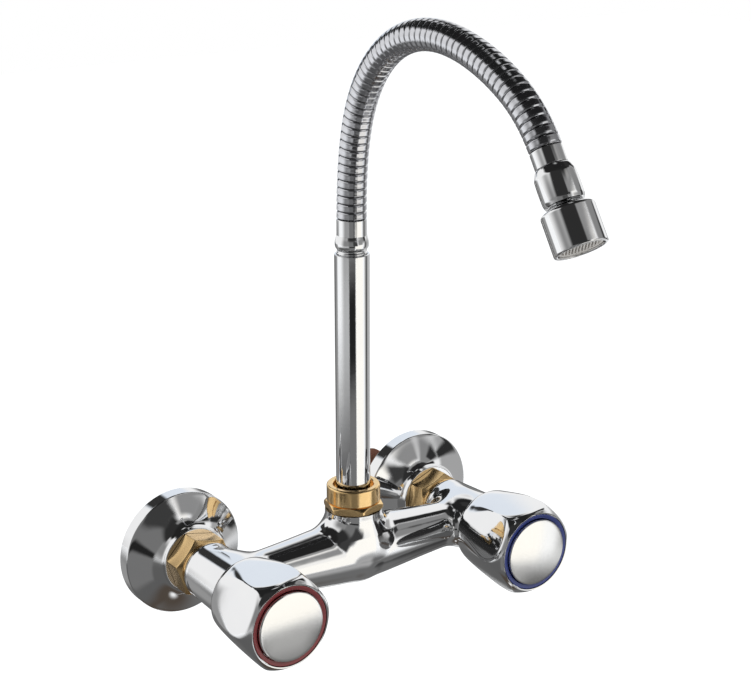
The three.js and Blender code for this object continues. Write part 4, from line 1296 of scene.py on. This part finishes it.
def studio():
    """Grey cards, dark flags and soft boxes; what lies between them is the white backdrop."""
    cards = [
        ("ceiling_flag", (-185, 185), (50, 92), grey(0.016), 12),
        ("rear_ceiling_flag", (165, 195), (32, 70), grey(0.03), 14),
        ("front_ceiling_flag", (-150, 138), (38, 80), grey(0.018), 10),
        ("left_ceiling_flag", (-166, -102), (33, 72), grey(0.018), 7),
        ("under_flag", (-185, 185), (-92, -54), colour(0.085, 0.068, 0.055), 10),
        ("low_left_card", (-185, 28), (-76, -12), grey(0.12), 14),
        ("left_low_card", (-152, -106), (-44, -1), grey(0.33), 9),
        ("low_right_card", (22, 185), (-82, -26), grey(0.16), 16),
        ("rear_low_card", (-210, -128), (-48, 2), grey(0.15), 12),
        ("left_card", (-86, 30), (-36, 50), grey(0.26), 36),
        ("right_card", (70, 122), (2, 52), grey(0.27), 12),
        ("right_strip_flag", (114, 143), (20, 62), grey(0.02), 7),
        ("rear_right_card", (88, 152), (-36, 12), grey(0.42), 10),
        ("rear_left_card", (-190, -124), (4, 36), colour(0.84, 0.90, 0.98), 8),
        ("left_strip_flag", (-151, -126), (8, 60), grey(0.035), 5),
        ("camera_card", (-26, 28), (-58, 52), grey(0.19), 8),
        ("upper_camera_flag", (-40, 48), (14, 62), grey(0.03), 14),
        ("camera_flag", (-22, 22), (-23, -9), grey(0.018), 5),
        ("low_warm_card", (28, 84), (-60, -26), grey(0.44), 18),
        ("warm_box", (22, 84), (-36, 4), colour(1.18, 1.15, 1.08), 7),
        ("tall_box", (42, 70), (-8, 52), colour(1.05, 1.03, 0.99), 12),
        ("head_flag", (26, 88), (37, 51), grey(0.30), 7),
        ("upper_right_flag", (80, 138), (44, 66), grey(0.03), 8),
        ("right_flag", (92, 116), (6, 30), grey(0.03), 6),
        ("riser_edge_flag", (104, 120), (-30, 10), grey(0.03), 5),
        ("low_right_flag", (96, 152), (-60, -42), grey(0.05), 9),
    ]
    for order, (name, turns, heights, tone, soft) in enumerate(cards):
        card(name, turns, heights, tone, soft, CARD_DISTANCE - CARD_STEP * order, STUDIO_CENTRE)
    left_flange, near = Vector((-INLET, 0, 0)) * MM, FLANGE_CARD_DISTANCE
    card("left_flange_flag", (18, 53), (4, 36), grey(0.05), 8, near, left_flange)
    card("left_flange_shade", (50, 84), (12, 38), grey(0.30), 8, near - CARD_STEP, left_flange)
    lamp("key_lamp", (60, 50), distance=1.1, size=0.9, power=9)
    lamp("fill_lamp", (-70, 30), distance=1.2, size=1.0, power=5)


def lamp(name, direction, distance, size, power):
    """A large soft lamp that gloss doesn't show."""
    data = bpy.data.lights.new(name, "AREA")
    data.size = size
    data.energy = power
    made = placed(name, data)
    towards = from_camera(*direction)
    made.location = STUDIO_CENTRE + towards * distance
    made.rotation_euler = towards.to_track_quat("Z", "Y").to_euler()
    made.visible_glossy = False


# ---- assembly ----

camera()
body_casting()
for inlet_name, inlet_side in SIDES.items():
    wall_flange(inlet_name, inlet_side)
    offset_connector(inlet_name, inlet_side)
    union_nut(inlet_name, inlet_side)
    handle(inlet_name, inlet_side)
    handle_cap(inlet_name, inlet_side)
index_ring("hot", SIDES["hot"], RED, "red_plastic")
index_ring("cold", SIDES["cold"], BLUE, "blue_plastic")
spout_nut()
riser()
ferrule()
flexible_spout()
hose_collar()
swivel_housing()
nozzle_shell()
jet_insert()
finish_solids()
world()
floor()
studio()

bpy.context.scene.view_settings.view_transform = "Standard"
